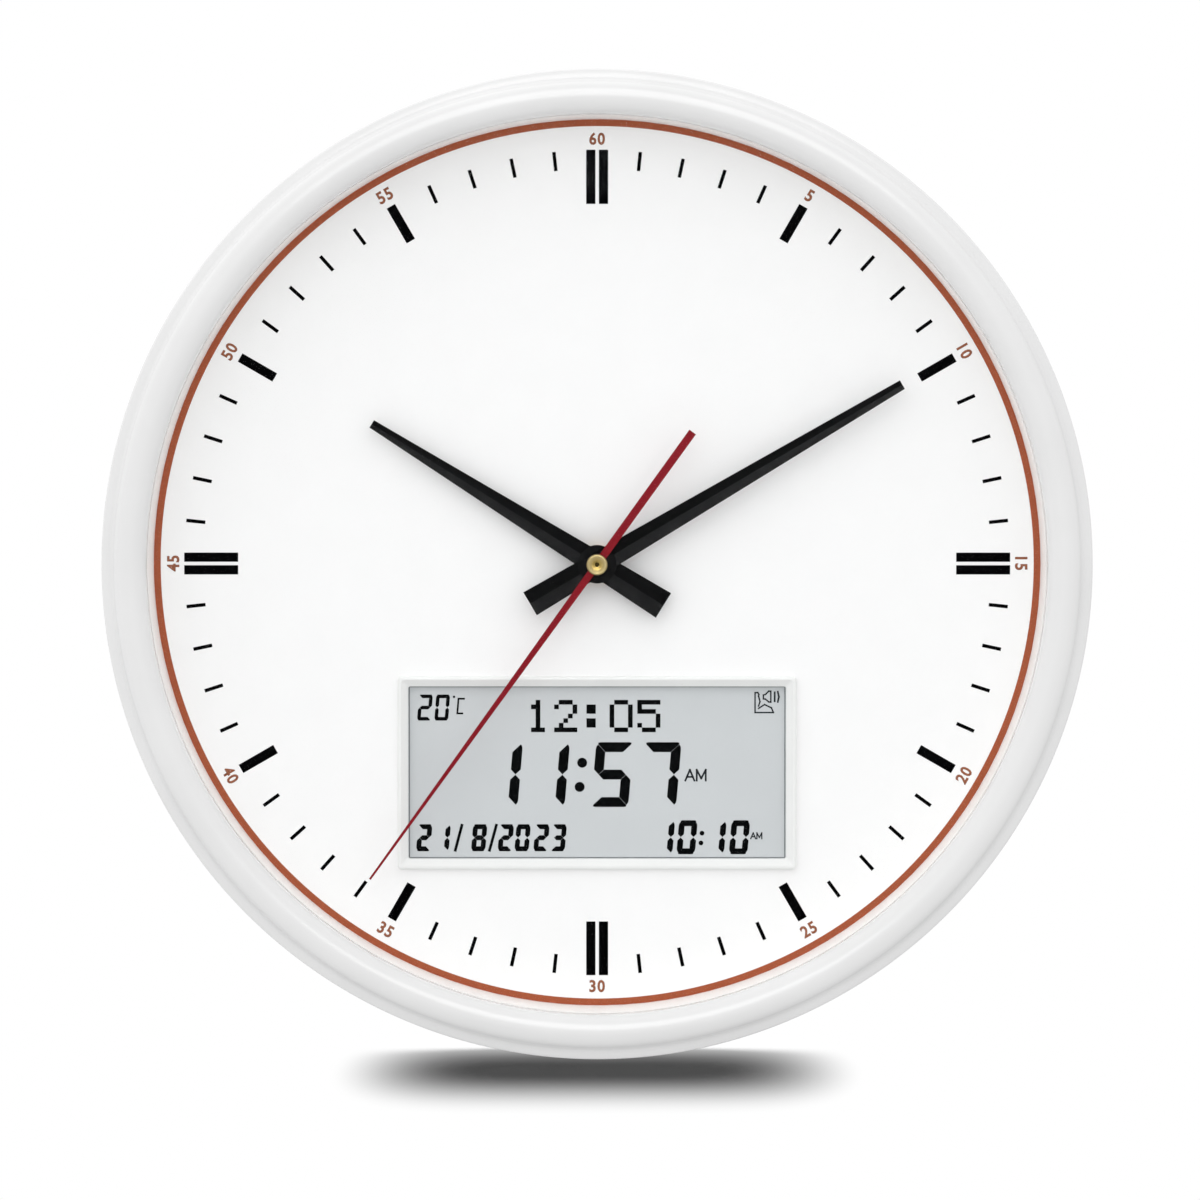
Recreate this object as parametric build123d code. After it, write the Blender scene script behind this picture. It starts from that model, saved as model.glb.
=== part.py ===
from build123d import *
import os
from math import atan2, cos, pi, radians, sin

# Round wall clock with an analogue dial and a calendar display, in millimetres.
# Everything is drawn lying on its back: X to the right, Y towards twelve, Z out of the
# wall, with Z = 0 on the wall and X = Y = 0 on the hand axis.  save() stands it up.

# Driving dimensions.
overall_diameter = 330.0
bezel_width = 15.0
hand_room = 15.0
movement_depth = 15.5
cell_diameter = 14.5
cell_length = 50.5
movement_end_room = 2.75
floor_thickness = 2.2
shell_wall = 2.4

# Proportions of the face, which follow the diameter.
face_share = overall_diameter / 330.0
display_width = 134.0 * face_share
display_height = 65.0 * face_share
display_drop = 70.3 * face_share
hour_hand_reach = 88.8 * face_share
minute_hand_reach = 118.4 * face_share
second_hand_reach = 130.0 * face_share
hour_hand_tail = 26.2 * face_share
minute_hand_tail = 26.0 * face_share
second_hand_tail = 54.6 * face_share
hour_hand_angle = 301.9
minute_hand_angle = 59.5
second_hand_angle = 215.8
hub_radius = 6.4

# Clearances.
free_gap = 0.3
running_gap = 0.08
screw_gap = 0.05
stack_gap = 0.2
pocket_gap = 0.1

# Radii that follow from the outside and the bezel.
outer_radius = overall_diameter / 2
opening_radius = outer_radius - bezel_width
crest_radius = opening_radius + 6.0
groove_radius = outer_radius - 2.7
crest_fall = 3.8
skirt_radius = outer_radius - shell_wall
rib_radius = opening_radius + 6.5
stack_radius = rib_radius - stack_gap
foot_radius = opening_radius - 7.0
rim_screw_radius = outer_radius - 4.8
rim_screw_count = 6

# Levels above the wall.
floor_rear = 3.0
floor_front = floor_rear + floor_thickness
joint_level = floor_front + 8.8
movement_rear = floor_front + 2.3
gasket_rear = movement_rear + movement_depth
dial_rear = gasket_rear + 1.0
dial_front = dial_rear + 1.0
glass_rear = dial_front + hand_room
glass_front = glass_rear + 2.0
crest_level = glass_front + 6.0
hour_hand_level = dial_front + 4.6
minute_hand_level = hour_hand_level + 2.4
second_hand_level = minute_hand_level + 2.6

# Inside of the movement: case, cell and plates.
case_wall = 1.2
movement_side = cell_length + 2 * movement_end_room
case_inside = movement_side - 2 * case_wall
case_split = movement_rear + movement_depth / 2
plate_rear = gasket_rear - case_wall
back_inside = movement_rear + case_wall
movement_cell_radius = 6.95
movement_cell_level = plate_rear - movement_cell_radius - pocket_gap
divider_low = 15.6 - movement_side / 2
divider_high = divider_low + case_wall
movement_cell_y = divider_low - movement_cell_radius - 0.07
train_plate_rear = back_inside + 7.7
train_plate_front = train_plate_rear + 0.6
wheel_thickness = 0.7
pivot_base = back_inside + 0.5
arbor_base = back_inside + 0.3
magnet_level = back_inside + 1.5
stator_rear = back_inside + 2.7
stator_front = stator_rear + 0.8
rotor_pinion_level = back_inside + 4.1
fifth_level = back_inside + 4.3
second_pinion_level = back_inside + 5.3
third_level = back_inside + 5.5
second_level = back_inside + 6.6
centre_level = back_inside + 8.7
cannon_level = back_inside + 9.8
motion_boss_level = back_inside + 10.1
knob_pinion_level = back_inside + 10.2
minute_level = back_inside + 10.3
knob_pivot_level = back_inside + 11.6
hour_level = back_inside + 11.7
pivot_end = plate_rear - 0.4

# Small screws: shank radius, head radius and head height.
shank_radius = 1.4
head_radius = 2.6
head_height = 1.5
small_shank_radius = 1.15
small_head_radius = 2.3
small_head_height = 1.1

# Display module, centred under the hand axis.
display_y = -display_drop
display_border = 3.5
bezel_rise = 2.2
bevel_width = 2.3
bevel_foot = dial_front + 0.7
window_width = display_width - 2 * display_border
window_height = display_height - 2 * display_border
skirt_width = display_width - 3.4
skirt_height = display_height - 3.4
panel_width = display_width - 2.0
panel_height = display_height - 1.0
panel_front = dial_rear - 0.7
panel_rear = panel_front - 2.8
reflector_width = panel_width - 4.0
reflector_height = panel_height - 7.0
strip_length = panel_width - 12.0
strip_y = panel_height / 2 - 1.8
carrier_width = display_width + 6.0
carrier_height = display_height + 5.0
carrier_rear = dial_rear - 9.4
carrier_ledge = panel_rear - 0.3
board_width = carrier_width - 8.0
board_height = carrier_height - 4.0
board_rear = carrier_rear - 1.6
board_post_x = board_width / 2 - 6.0
board_post_y = board_height / 2 - 4.0
ear_x = carrier_width / 2 + 3.5
ear_y = carrier_height / 2 - 7.0
ear_height = 3.0

# Key board along the lower edge of the display module.
key_board_y = display_y - 19.7
key_board_rear = floor_front + 5.0
key_board_front = key_board_rear + 1.2
button_radius = 3.6
button_pitch = 18.0
button_travel = 0.5
flange_radius = button_radius + 1.6
key_screw_x = 2 * button_pitch + flange_radius + 5.3
key_board_length = 2 * key_screw_x + 7.0
button_names = ("mode", "set", "up", "down", "sound")

# Cell bay for the display, under the display module.
cell_radius = cell_diameter / 2
cell_pitch = cell_diameter + 1.0
contact_thickness = 0.5
contact_rise = 1.0
spring_length = 5.5
bay_wall = 1.6
bay_length = cell_length + spring_length + contact_rise + 2 * contact_thickness
bay_width = 2 * cell_diameter + 1.6
bay_y = display_y - carrier_height / 2 - free_gap - bay_wall - bay_width / 2
door_thickness = 1.7
door_recess = door_thickness + free_gap
door_length = bay_length + 1.8
door_width = bay_width + 1.8
cell_level = floor_rear + door_thickness + 0.35 + cell_radius
bay_top = cell_level + cell_radius + 0.05

# Speaker, left of the movement, facing the wall.
speaker_x = 85.0 - outer_radius
speaker_y = 8.0
speaker_radius = 25.0
speaker_clamp_radius = speaker_radius + 3.4
flange_thickness = 1.2
basket_depth = 8.2

# Hanger plate with its keyhole, and the pocket for the head of the wall screw.
hanger_height = outer_radius - 42.0
plate_width = 38.0
plate_height = 26.0
plate_thickness = 1.2
plate_y = hanger_height + 3.0
plate_screw_x = plate_width / 2 - 4.5
keyhole_radius = 4.5
slot_half_width = 2.3
slot_rise = 8.7
pocket_width = 18.0
pocket_height = 20.0
pocket_wall = 1.4
pocket_y = plate_y + 0.5
pocket_top = floor_rear + plate_thickness + 8.0

# Wheels of the train: teeth and module, and where their axes stand.
tooth_addendum = 0.8
tooth_dedendum = 1.15
tip_share = 0.22
root_share = 0.56
rotor_teeth = 8
fifth_teeth = 48
fifth_pinion_teeth = 10
second_teeth = 50
second_pinion_teeth = 8
third_teeth = 60
third_pinion_teeth = 8
centre_teeth = 64
cannon_teeth = 12
minute_teeth = 36
minute_pinion_teeth = 10
hour_teeth = 40
knob_teeth = 12
fast_module = 0.25
third_distance = fast_module * (third_pinion_teeth + centre_teeth) / 2
third_module = 2 * third_distance / (second_pinion_teeth + third_teeth)
minute_module = 0.35
minute_distance = minute_module * (cannon_teeth + minute_teeth) / 2
hour_module = 2 * minute_distance / (minute_pinion_teeth + hour_teeth)
knob_distance = minute_module * (minute_teeth + knob_teeth) / 2
rotor_distance = fast_module * (rotor_teeth + fifth_teeth) / 2
fifth_distance = fast_module * (fifth_pinion_teeth + second_teeth) / 2
fifth_bearing = 35.0
rotor_bearing = 70.0
third_bearing = 155.0
minute_bearing = 10.0
knob_bearing = 24.0
arbor_radius = 0.75
minute_pipe_radius = 1.6
hour_pipe_radius = 2.5
bush_radius = 3.8
washer_radius = hub_radius - free_gap
washer_thickness = 0.5
pivot_radius = 0.4
stud_radius = 0.5
knob_shaft_radius = 1.2
knob_pivot_radius = 0.6


# Helpers.

def polar(radius, bearing, x=0.0, y=0.0):
    return x + radius * cos(radians(bearing)), y + radius * sin(radians(bearing))


fifth_x, fifth_y = polar(fifth_distance, fifth_bearing)
rotor_x, rotor_y = polar(rotor_distance, rotor_bearing, fifth_x, fifth_y)
third_x, third_y = polar(third_distance, third_bearing)
minute_x, minute_y = polar(minute_distance, minute_bearing)
knob_x, knob_y = polar(knob_distance, knob_bearing, minute_x, minute_y)


def save(name, shape):
    """Stand the lying shape up, with the middle of the keyhole's entry at the origin."""
    standing = Rot(90, 0, 0) * (Pos(0, -hanger_height, -floor_rear) * shape)
    export_step(standing, f"parts/{name}.step")


def block(x_low, x_high, y_low, y_high, z_low, z_high):
    corner = Pos(x_low, y_low, z_low)
    lowest = (Align.MIN, Align.MIN, Align.MIN)
    return corner * Box(x_high - x_low, y_high - y_low, z_high - z_low, align=lowest)


def slab(width, height, z_low, z_high, x=0.0, y=0.0, corner=0.0):
    outline = RectangleRounded(width, height, corner) if corner else Rectangle(width, height)
    return Pos(x, y, z_low) * extrude(outline, z_high - z_low)


def disc(radius, z_low, z_high, x=0.0, y=0.0):
    return Pos(x, y, z_low) * Cylinder(radius, z_high - z_low, align=(Align.CENTER, Align.CENTER, Align.MIN))


def tube(outer, inner, z_low, z_high, x=0.0, y=0.0):
    return disc(outer, z_low, z_high, x, y) - disc(inner, z_low, z_high, x, y)


def rod_along_x(radius, x_low, x_high, y, z):
    length = x_high - x_low
    return Pos((x_low + x_high) / 2, y, z) * Rot(0, 90, 0) * Cylinder(radius, length)


def turned(*steps):
    """Revolve an outline of (radius, level) points; a pair of points is an arc's middle and end."""
    here = steps[0]
    edges = []
    for step in steps[1:] + (steps[0],):
        if isinstance(step[0], tuple):
            middle, end = step
            edges.append(ThreePointArc((here[0], 0, here[1]), (middle[0], 0, middle[1]), (end[0], 0, end[1])))
            here = end
        else:
            edges.append(Line((here[0], 0, here[1]), (step[0], 0, step[1])))
            here = step
    return revolve(make_face(edges), Axis.Z)


def shoulder(top, foot):
    """Middle point of the arc that leaves the top level and comes down to the foot."""
    across = foot[0] - top[0]
    drop = top[1] - foot[1]
    radius = (across ** 2 + drop ** 2) / (2 * drop)
    half_turn = atan2(abs(across), radius - drop) / 2
    side = 1 if across > 0 else -1
    return top[0] + side * radius * sin(half_turn), top[1] - radius * (1 - cos(half_turn))


def around(count, first, radius, z_low, z_high, distance, x=0.0, y=0.0):
    """Equal posts, or the holes for them, spaced evenly on a circle."""
    posts = []
    for index in range(count):
        post_x, post_y = polar(distance, first + 360 / count * index, x, y)
        posts.append(disc(radius, z_low, z_high, post_x, post_y))
    return posts


def corners(x, y, centre_y=0.0):
    return [(side * x, centre_y + end * y) for side in (-1, 1) for end in (-1, 1)]


def screw(x, y, seat, tip, shank, head, height):
    """Pan-head screw: head beyond the seat, shank running from the seat to the tip."""
    away = 1 if seat > tip else -1
    rim = seat + away * height
    body = disc(shank, min(seat, tip), max(seat, tip), x, y)
    top = Pos(x, y, 0) * turned((0, seat), (head, seat), (head, seat + away * height * 0.6),
                                (head * 0.7, rim), (0, rim))
    cross = slab(head * 1.1, head * 0.24, rim - height * 0.45, rim + height * 0.45, x, y)
    return body + top - cross - Pos(x, y, 0) * Rot(0, 0, 90) * Pos(-x, -y, 0) * cross


def tooth_ring(teeth, module, phase, z_low, z_high, x, y):
    """Solid toothed disc with straight-flanked teeth, one of them centred on the phase angle."""
    pitch_radius = module * teeth / 2
    root_radius = pitch_radius - tooth_dedendum * module
    tip_radius = pitch_radius + tooth_addendum * module
    points = []
    for index in range(teeth):
        centre = radians(phase) + 2 * pi / teeth * index
        flank = ((root_radius, -root_share), (tip_radius, -tip_share),
                 (tip_radius, tip_share), (root_radius, root_share))
        for radius, share in flank:
            angle = centre + share * pi * module / 2 / radius
            points.append((radius * cos(angle), radius * sin(angle)))
    outline = make_face(Polyline(*points, close=True))
    return Pos(x, y, z_low) * extrude(outline, z_high - z_low)


def meshing_phase(bearing, teeth, phase, other_teeth):
    """Phase of the gear on the far side of the bearing that puts its gap on this gear's tooth."""
    step = 360 / teeth
    offset = (phase - bearing) % step
    return bearing + 180 + 180 / other_teeth - offset * teeth / other_teeth


# Front: frame, glass, spacer and dial.

def front_frame():
    """Moulded ring: rolled crest, groove, rim and skirt, hollow behind, with a rib for the stack."""
    crest = crest_level
    valley = crest - crest_fall
    shell = turned(
        (opening_radius, glass_front),
        (opening_radius, crest - 4.4),
        (shoulder((crest_radius, crest), (opening_radius, crest - 4.4)), (crest_radius, crest)),
        (shoulder((crest_radius, crest), (groove_radius, valley)), (groove_radius, valley)),
        ((groove_radius + 0.34, valley - 0.48), (groove_radius + 0.85, valley - 0.8)),
        ((outer_radius - 0.55, valley - 1.5), (outer_radius, valley - 3.0)),
        (outer_radius, joint_level),
        (skirt_radius, joint_level),
        (skirt_radius, crest - 9.0),
        (groove_radius - 1.9, valley - 2.4),
        (crest_radius + 1.6, crest - 2.8),
        (opening_radius + 3.4, crest - 3.8),
        (opening_radius + 3.4, glass_front))
    frame = shell + tube(rib_radius + 1.6, rib_radius, dial_rear - 2.0, crest - 2.0)
    for post in around(rim_screw_count, 30, 3.2, joint_level, valley - 1.9, rim_screw_radius):
        frame += post
    frame -= disc(rib_radius, joint_level, glass_front)
    hole_top = joint_level + 13
    for hole in around(rim_screw_count, 30, shank_radius + screw_gap,
                       joint_level, hole_top, rim_screw_radius):
        frame -= hole
    return frame


def front_glass():
    return disc(stack_radius, glass_rear, glass_front)


def dial_spacer_ring():
    """Glossy wall between dial and glass, leaning outwards a little towards the glass."""
    return turned(
        (opening_radius - 1.2, dial_front),
        (stack_radius, dial_front),
        (stack_radius, glass_rear),
        (opening_radius - 0.1, glass_rear))


def dial_plate():
    plate = disc(stack_radius, dial_rear, dial_front)
    plate -= disc(bush_radius + stack_gap, dial_rear, dial_front)
    return plate - slab(skirt_width + 2 * free_gap, skirt_height + 2 * free_gap,
                        dial_rear, dial_front, 0, display_y)


# Rear housing and what fastens it.

def housing_shell():
    rim = outer_radius
    foot = foot_radius
    wall = opening_radius + shell_wall
    shell = turned(
        (0, floor_rear),
        (foot, floor_rear),
        (foot, 0),
        (foot + 4.0, 0),
        (foot + 4.0, floor_rear),
        (rim - 9.5, floor_rear),
        ((rim - 3.4, floor_rear + 3.2), (rim, joint_level - 2.0)),
        (rim, joint_level),
        (skirt_radius, joint_level),
        (skirt_radius, joint_level - 1.6),
        (skirt_radius - 2.8, floor_front + 2.6),
        (rim - 10.0, floor_front),
        (wall, floor_front),
        (wall, dial_rear),
        (opening_radius, dial_rear),
        (opening_radius, floor_front),
        (0, floor_front))
    for post in around(rim_screw_count, 30, 3.5, floor_rear + 2.6, joint_level, rim_screw_radius):
        shell += post
    for index in range(8):
        rib = block(opening_radius - 18, opening_radius + 0.5, -0.8, 0.8, floor_rear + 1, floor_front + 7)
        shell += Rot(0, 0, 22.5 + 45 * index) * rib
    return shell


def housing_posts():
    """Posts that carry the display module, its board, the key board, the speaker and the hanger."""
    posts = []
    for x, y in corners(ear_x, ear_y, display_y):
        posts.append(disc(3.4, floor_rear + 1, carrier_rear, x, y))
    for x, y in corners(board_post_x, board_post_y, display_y):
        posts.append(disc(2.0, floor_rear + 1, board_rear, x, y))
    for x in (-key_screw_x, key_screw_x):
        posts.append(disc(3.0, floor_rear + 1, key_board_rear, x, key_board_y))
    posts += around(3, 90, 3.0, floor_rear + 1, floor_front + flange_thickness,
                    speaker_clamp_radius, speaker_x, speaker_y)
    for x in (-plate_screw_x, plate_screw_x):
        posts.append(disc(2.8, floor_rear + plate_thickness, floor_front + 6.2, x, plate_y))
    return posts


def housing_screw_holes():
    gap = screw_gap
    holes = around(rim_screw_count, 30, head_radius + 0.4, 0, joint_level - 4, rim_screw_radius)
    holes += around(rim_screw_count, 30, shank_radius + gap, 0, joint_level, rim_screw_radius)
    for x, y in corners(ear_x, ear_y, display_y):
        holes.append(disc(shank_radius + gap, floor_front + 1, carrier_rear, x, y))
    for x in (-key_screw_x, key_screw_x):
        holes.append(disc(small_shank_radius + gap, floor_front + 0.6, key_board_rear, x, key_board_y))
    holes += around(3, 90, small_shank_radius + gap, floor_rear + 0.8, floor_front + flange_thickness,
                    speaker_clamp_radius, speaker_x, speaker_y)
    for x in (-plate_screw_x, plate_screw_x):
        holes.append(disc(small_shank_radius + gap, floor_rear, floor_front + 5.4, x, plate_y))
    return holes


def grille_slots():
    """Sound slots in the floor in front of the speaker, cut to a circle."""
    slots = []
    for index in range(-4, 5):
        offset = index * 4.2
        half = ((speaker_radius - 5.5) ** 2 - offset ** 2) ** 0.5
        slots.append(slab(2 * half, 2.0, floor_rear, floor_front, speaker_x, speaker_y + offset))
    return slots


def rear_housing():
    """Moulded dish with foot ring, dial wall, cell bay, hanger pocket, ports and posts."""
    housing = housing_shell()
    housing += slab(bay_length + 2 * bay_wall, bay_width + 2 * bay_wall,
                    floor_rear, bay_top + bay_wall, 0, bay_y)
    housing += slab(pocket_width + 2 * pocket_wall, pocket_height + 2 * pocket_wall,
                    floor_rear + 1, pocket_top + pocket_wall, 0, pocket_y)
    for post in housing_posts():
        housing += post
    housing -= slab(bay_length, bay_width, floor_rear, bay_top, 0, bay_y)
    housing -= slab(door_length + 2 * free_gap, door_width + 2 * free_gap,
                    floor_rear, floor_rear + door_recess, 0, bay_y)
    housing -= slab(plate_width + 2 * pocket_gap, plate_height + 2 * pocket_gap,
                    floor_rear, floor_rear + plate_thickness, 0, plate_y)
    housing -= slab(pocket_width, pocket_height, floor_rear, pocket_top, 0, pocket_y)
    housing -= slab(movement_side + 4, movement_side + 4, floor_rear, floor_front, 0, 0, 3.0)
    for hole in housing_screw_holes() + grille_slots():
        housing -= hole
    for index in range(-2, 3):
        housing -= disc(button_radius + free_gap, floor_rear, floor_front, index * button_pitch, key_board_y)
    return housing


def housing_screws():
    seat = joint_level - 4
    screws = []
    for index in range(rim_screw_count):
        x, y = polar(rim_screw_radius, 30 + 360 / rim_screw_count * index)
        screws.append(screw(x, y, seat, seat + 16, shank_radius, head_radius, head_height))
    return Compound(screws)


def hanger_plate():
    plate = slab(plate_width, plate_height, floor_rear, floor_rear + plate_thickness, 0, plate_y, 2.0)
    top = floor_rear + plate_thickness
    plate -= disc(keyhole_radius, floor_rear, top, 0, hanger_height)
    plate -= block(-slot_half_width, slot_half_width,
                   hanger_height, hanger_height + slot_rise, floor_rear, top)
    plate -= disc(slot_half_width, floor_rear, top, 0, hanger_height + slot_rise)
    for x in (-plate_screw_x, plate_screw_x):
        plate -= disc(small_shank_radius + screw_gap, floor_rear, top, x, plate_y)
    return plate


def hanger_screws():
    tip = floor_rear + 7.4
    return Compound([screw(x, plate_y, floor_rear, tip, small_shank_radius, small_head_radius,
                           small_head_height) for x in (-plate_screw_x, plate_screw_x)])


# Cell bay: door, cells and contacts.

def battery_door():
    """Flat lid with grip ribs in a thumb recess and two locating tabs on its inner face."""
    top = floor_rear + door_thickness
    door = slab(door_length, door_width, floor_rear, top, 0, bay_y, 1.5)
    door -= slab(16, 8, floor_rear, floor_rear + 0.7, 0, bay_y + 9, 1.5)
    for index in range(3):
        door += slab(13, 0.9, floor_rear + 0.1, floor_rear + 1.0, 0, bay_y + 6.8 + 2.2 * index)
    tab_y = bay_y - bay_width / 2 + 0.4
    for x in (-22, 22):
        door += block(x - 3, x + 3, tab_y, tab_y + 1.0, top, top + 1.8)
    return door


def aa_cell(x_low, y, z, pole_right, radius=cell_radius):
    """Cylindrical cell lying along X, with its raised positive pole at one end."""
    pole = 1.0
    can_length = cell_length - pole
    can_low = x_low if pole_right else x_low + pole
    pole_low = can_low + can_length if pole_right else x_low
    can = rod_along_x(radius, can_low, can_low + can_length, y, z)
    return can + rod_along_x(2.6, pole_low, pole_low + pole, y, z)


def bay_rows():
    """The two cells of the bay: row level across the bay and whether the pole points right."""
    return ((bay_y + cell_pitch / 2, True), (bay_y - cell_pitch / 2, False))


def display_batteries():
    half = bay_length / 2 - contact_thickness
    cells = []
    for y, pole_right in bay_rows():
        x_low = spring_length - half if pole_right else contact_rise - half
        cells.append(aa_cell(x_low, y, cell_level, pole_right))
    return Compound(cells)


def leaf_spring(x_base, x_cell, y, z):
    """Sprung strip folded twice between its foot on the end wall and the nose on the cell."""
    reach = x_cell - x_base
    strip = 0.4 if reach > 0 else -0.4
    low = z - 4.6
    high = z + 3.4
    profile = Polyline((x_base, low), (x_base + strip, low), (x_base + strip, high),
                       (x_cell - strip, z - 0.5), (x_cell - strip, low + 1.4),
                       (x_cell, low + 1.4), (x_cell, z + 0.2),
                       (x_base + strip, high + 1.0), (x_base, high + 1.0), close=True)
    width = 6.0
    return Pos(0, y + width / 2, 0) * Rot(90, 0, 0) * extrude(make_face(profile), width)


def battery_springs():
    half = bay_length / 2 - contact_thickness
    springs = []
    for y, pole_right in bay_rows():
        side = -1 if pole_right else 1
        springs.append(leaf_spring(side * half, side * (half - spring_length), y, cell_level))
    return Compound(springs)


def battery_contact_plates():
    """One joining plate and two single plates, each with a boss for a positive pole."""
    outer = bay_length / 2
    inner = outer - contact_thickness
    low = cell_level - 5.3
    high = cell_level + 5.3
    half = cell_pitch / 2
    left = block(-outer, -inner, bay_y - half - 5, bay_y + half + 5, low, high)
    left += rod_along_x(2.0, -inner, -inner + contact_rise, bay_y - half, cell_level)
    plus = block(inner, outer, bay_y + half - 5, bay_y + half + 5, low, high)
    plus += rod_along_x(2.0, inner - contact_rise, inner, bay_y + half, cell_level)
    minus = block(inner, outer, bay_y - half - 5, bay_y - half + 5, low, high)
    return Compound([left, plus, minus])


# Display module.

def display_bezel():
    """Raised frame on the dial, bevelled in towards the window, with a skirt down to the glass panel."""
    rim = dial_front + bezel_rise
    outer = slab(display_width, display_height, dial_front, rim, 0, display_y, 1.4)
    outer = fillet(outer.faces().sort_by(Axis.Z)[-1].edges(), 0.8)
    skirt = slab(skirt_width, skirt_height, panel_front, dial_front, 0, display_y)
    opening = slab(window_width, window_height, panel_front, rim, 0, display_y, 0.8)
    foot = RectangleRounded(window_width, window_height, 0.8)
    brim = RectangleRounded(window_width + 2 * bevel_width, window_height + 2 * bevel_width, 0.9)
    bevel = loft([Pos(0, display_y, bevel_foot) * foot, Pos(0, display_y, rim) * brim])
    return outer + skirt - opening - bevel


def lcd_panel():
    """Two sheets of glass, the rear one taller to carry the contact ledges."""
    middle = (panel_rear + panel_front) / 2
    rear = slab(panel_width, panel_height, panel_rear, middle, 0, display_y)
    return rear + slab(panel_width, panel_height - 1.6, middle, panel_front, 0, display_y)


def lcd_reflector():
    return slab(reflector_width, reflector_height, carrier_ledge, panel_rear, 0, display_y)


def zebra_strips():
    return Compound([slab(strip_length, 2.0, carrier_rear, panel_rear, 0, display_y + side * strip_y)
                     for side in (-1, 1)])


def display_carrier():
    """Tray that locates panel, reflector and contact strips, with four screw ears."""
    carrier = slab(carrier_width, carrier_height, carrier_rear, dial_rear, 0, display_y, 2.0)
    carrier -= slab(panel_width + 0.4, panel_height + 0.4, carrier_ledge, dial_rear, 0, display_y)
    carrier -= slab(reflector_width - 4, reflector_height - 3, carrier_rear, carrier_ledge, 0, display_y)
    for side in (-1, 1):
        carrier -= slab(strip_length + 0.4, 2.4, carrier_rear, carrier_ledge, 0, display_y + side * strip_y)
    for x, y in corners(ear_x, ear_y, display_y):
        carrier += slab(9.0, 9.0, carrier_rear, carrier_rear + ear_height, x, y, 1.5)
    for x, y in corners(ear_x, ear_y, display_y):
        carrier -= disc(shank_radius + screw_gap, carrier_rear, carrier_rear + ear_height, x, y)
    return carrier


def module_screws():
    seat = carrier_rear + ear_height
    return Compound([screw(x, y, seat, floor_front + 2, shank_radius, head_radius, head_height)
                     for x, y in corners(ear_x, ear_y, display_y)])


def main_circuit_board():
    return slab(board_width, board_height, board_rear, carrier_rear, 0, display_y, 1.0)


def controller_chip():
    """Drop of black resin over the chip, on the rear of the board."""
    drop = turned((0, board_rear), (8.0, board_rear), ((6.4, board_rear - 1.1), (3.0, board_rear - 1.6)),
                  (0, board_rear - 1.6))
    return Pos(-20, display_y + 8, 0) * drop


def module_crystal():
    return rod_along_x(1.0, 2, 8, display_y + 15, board_rear - 1.0)


def filter_capacitor():
    return Pos(30, display_y + 12, 0) * turned(
        (0, board_rear), (3.15, board_rear), (3.15, board_rear - 6.5), (2.7, board_rear - 7),
        (0, board_rear - 7))


def temperature_sensor():
    tip = board_rear - 4.0
    return Pos(board_width / 2 - 8, display_y + 4, 0) * turned(
        (0, board_rear), (1.2, board_rear), (1.2, tip + 1.0), ((1.0, tip + 0.3), (0.5, tip)), (0, tip))


# Key board and buttons.

def key_circuit_board():
    board = slab(key_board_length, 13, key_board_rear, key_board_front, 0, key_board_y, 1.0)
    for x in (-key_screw_x, key_screw_x):
        board -= disc(small_shank_radius + screw_gap, key_board_rear, key_board_front, x, key_board_y)
    return board


def key_board_screws():
    return Compound([screw(x, key_board_y, key_board_front, floor_front + 1, small_shank_radius,
                           small_head_radius, small_head_height) for x in (-key_screw_x, key_screw_x)])


def tact_switches():
    """Five switch bodies, each with its plunger as it stands when pressed home."""
    plunger_end = floor_front + free_gap + 0.8 + button_travel + 0.1
    switches = []
    for index in range(-2, 3):
        x = index * button_pitch
        body = slab(6, 6, plunger_end + 0.4, key_board_rear, x, key_board_y)
        switches.append(body + disc(1.7, plunger_end, plunger_end + 0.4, x, key_board_y))
    return Compound(switches)


def button(index):
    """Cap through the floor with a retaining flange inside; its crown has a bevelled edge."""
    flange_rear = floor_front + free_gap
    crown = floor_rear - 1.4
    cap = turned(
        (0, crown), (button_radius - 0.7, crown), (button_radius, crown + 0.7), (button_radius, flange_rear),
        (flange_radius, flange_rear), (flange_radius, flange_rear + 0.8), (0, flange_rear + 0.8))
    return Pos((index - 2) * button_pitch, key_board_y, 0) * cap


# Speaker.

def speaker_basket():
    rim = speaker_radius
    basket = turned(
        (rim - 3.5, 0), (rim, 0), (rim, flange_thickness), (rim - 2.0, flange_thickness),
        (12.5, basket_depth), (6.5, basket_depth), (6.5, basket_depth - 1.0), (11.9, basket_depth - 1.0),
        (rim - 3.5, 1.0))
    for index in range(4):
        basket -= Rot(0, 0, 45 + 90 * index) * block(14.7, 19.7, -6.5, 6.5, flange_thickness, basket_depth)
    return Pos(speaker_x, speaker_y, floor_front) * basket


def speaker_cone():
    """Paper cone with its domed dust cap, as one thin turned skin."""
    rim = speaker_radius - 3.5
    return Pos(speaker_x, speaker_y, floor_front) * turned(
        (0, 4.4), (1.5, 4.4), ((3.8, 4.8), (5.6, 5.8)), (rim - 0.9, 0.4), (rim, 0.2), (rim, 0.8),
        (rim - 0.7, 0.9), (5.9, 6.4), ((3.8, 5.4), (1.5, 5.0)), (0, 5.0))


def speaker_magnet():
    return Pos(speaker_x, speaker_y, floor_front + basket_depth) * turned(
        (0, 0), (10.5, 0), (10.5, 1.0), (11.5, 1.0), (11.5, 5.4), (10.5, 5.4), (10.5, 6.4), (0, 6.4))


def speaker_screws():
    seat = floor_front + flange_thickness
    screws = []
    for index in range(3):
        x, y = polar(speaker_clamp_radius, 90 + 120 * index, speaker_x, speaker_y)
        wide = screw(x, y, seat, floor_rear + 1, small_shank_radius, small_head_radius, small_head_height)
        screws.append(wide + tube(4.3, small_shank_radius, seat, seat + 0.5, x, y))
    return Compound(screws)


# Movement: case, cell and circuit.

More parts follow.
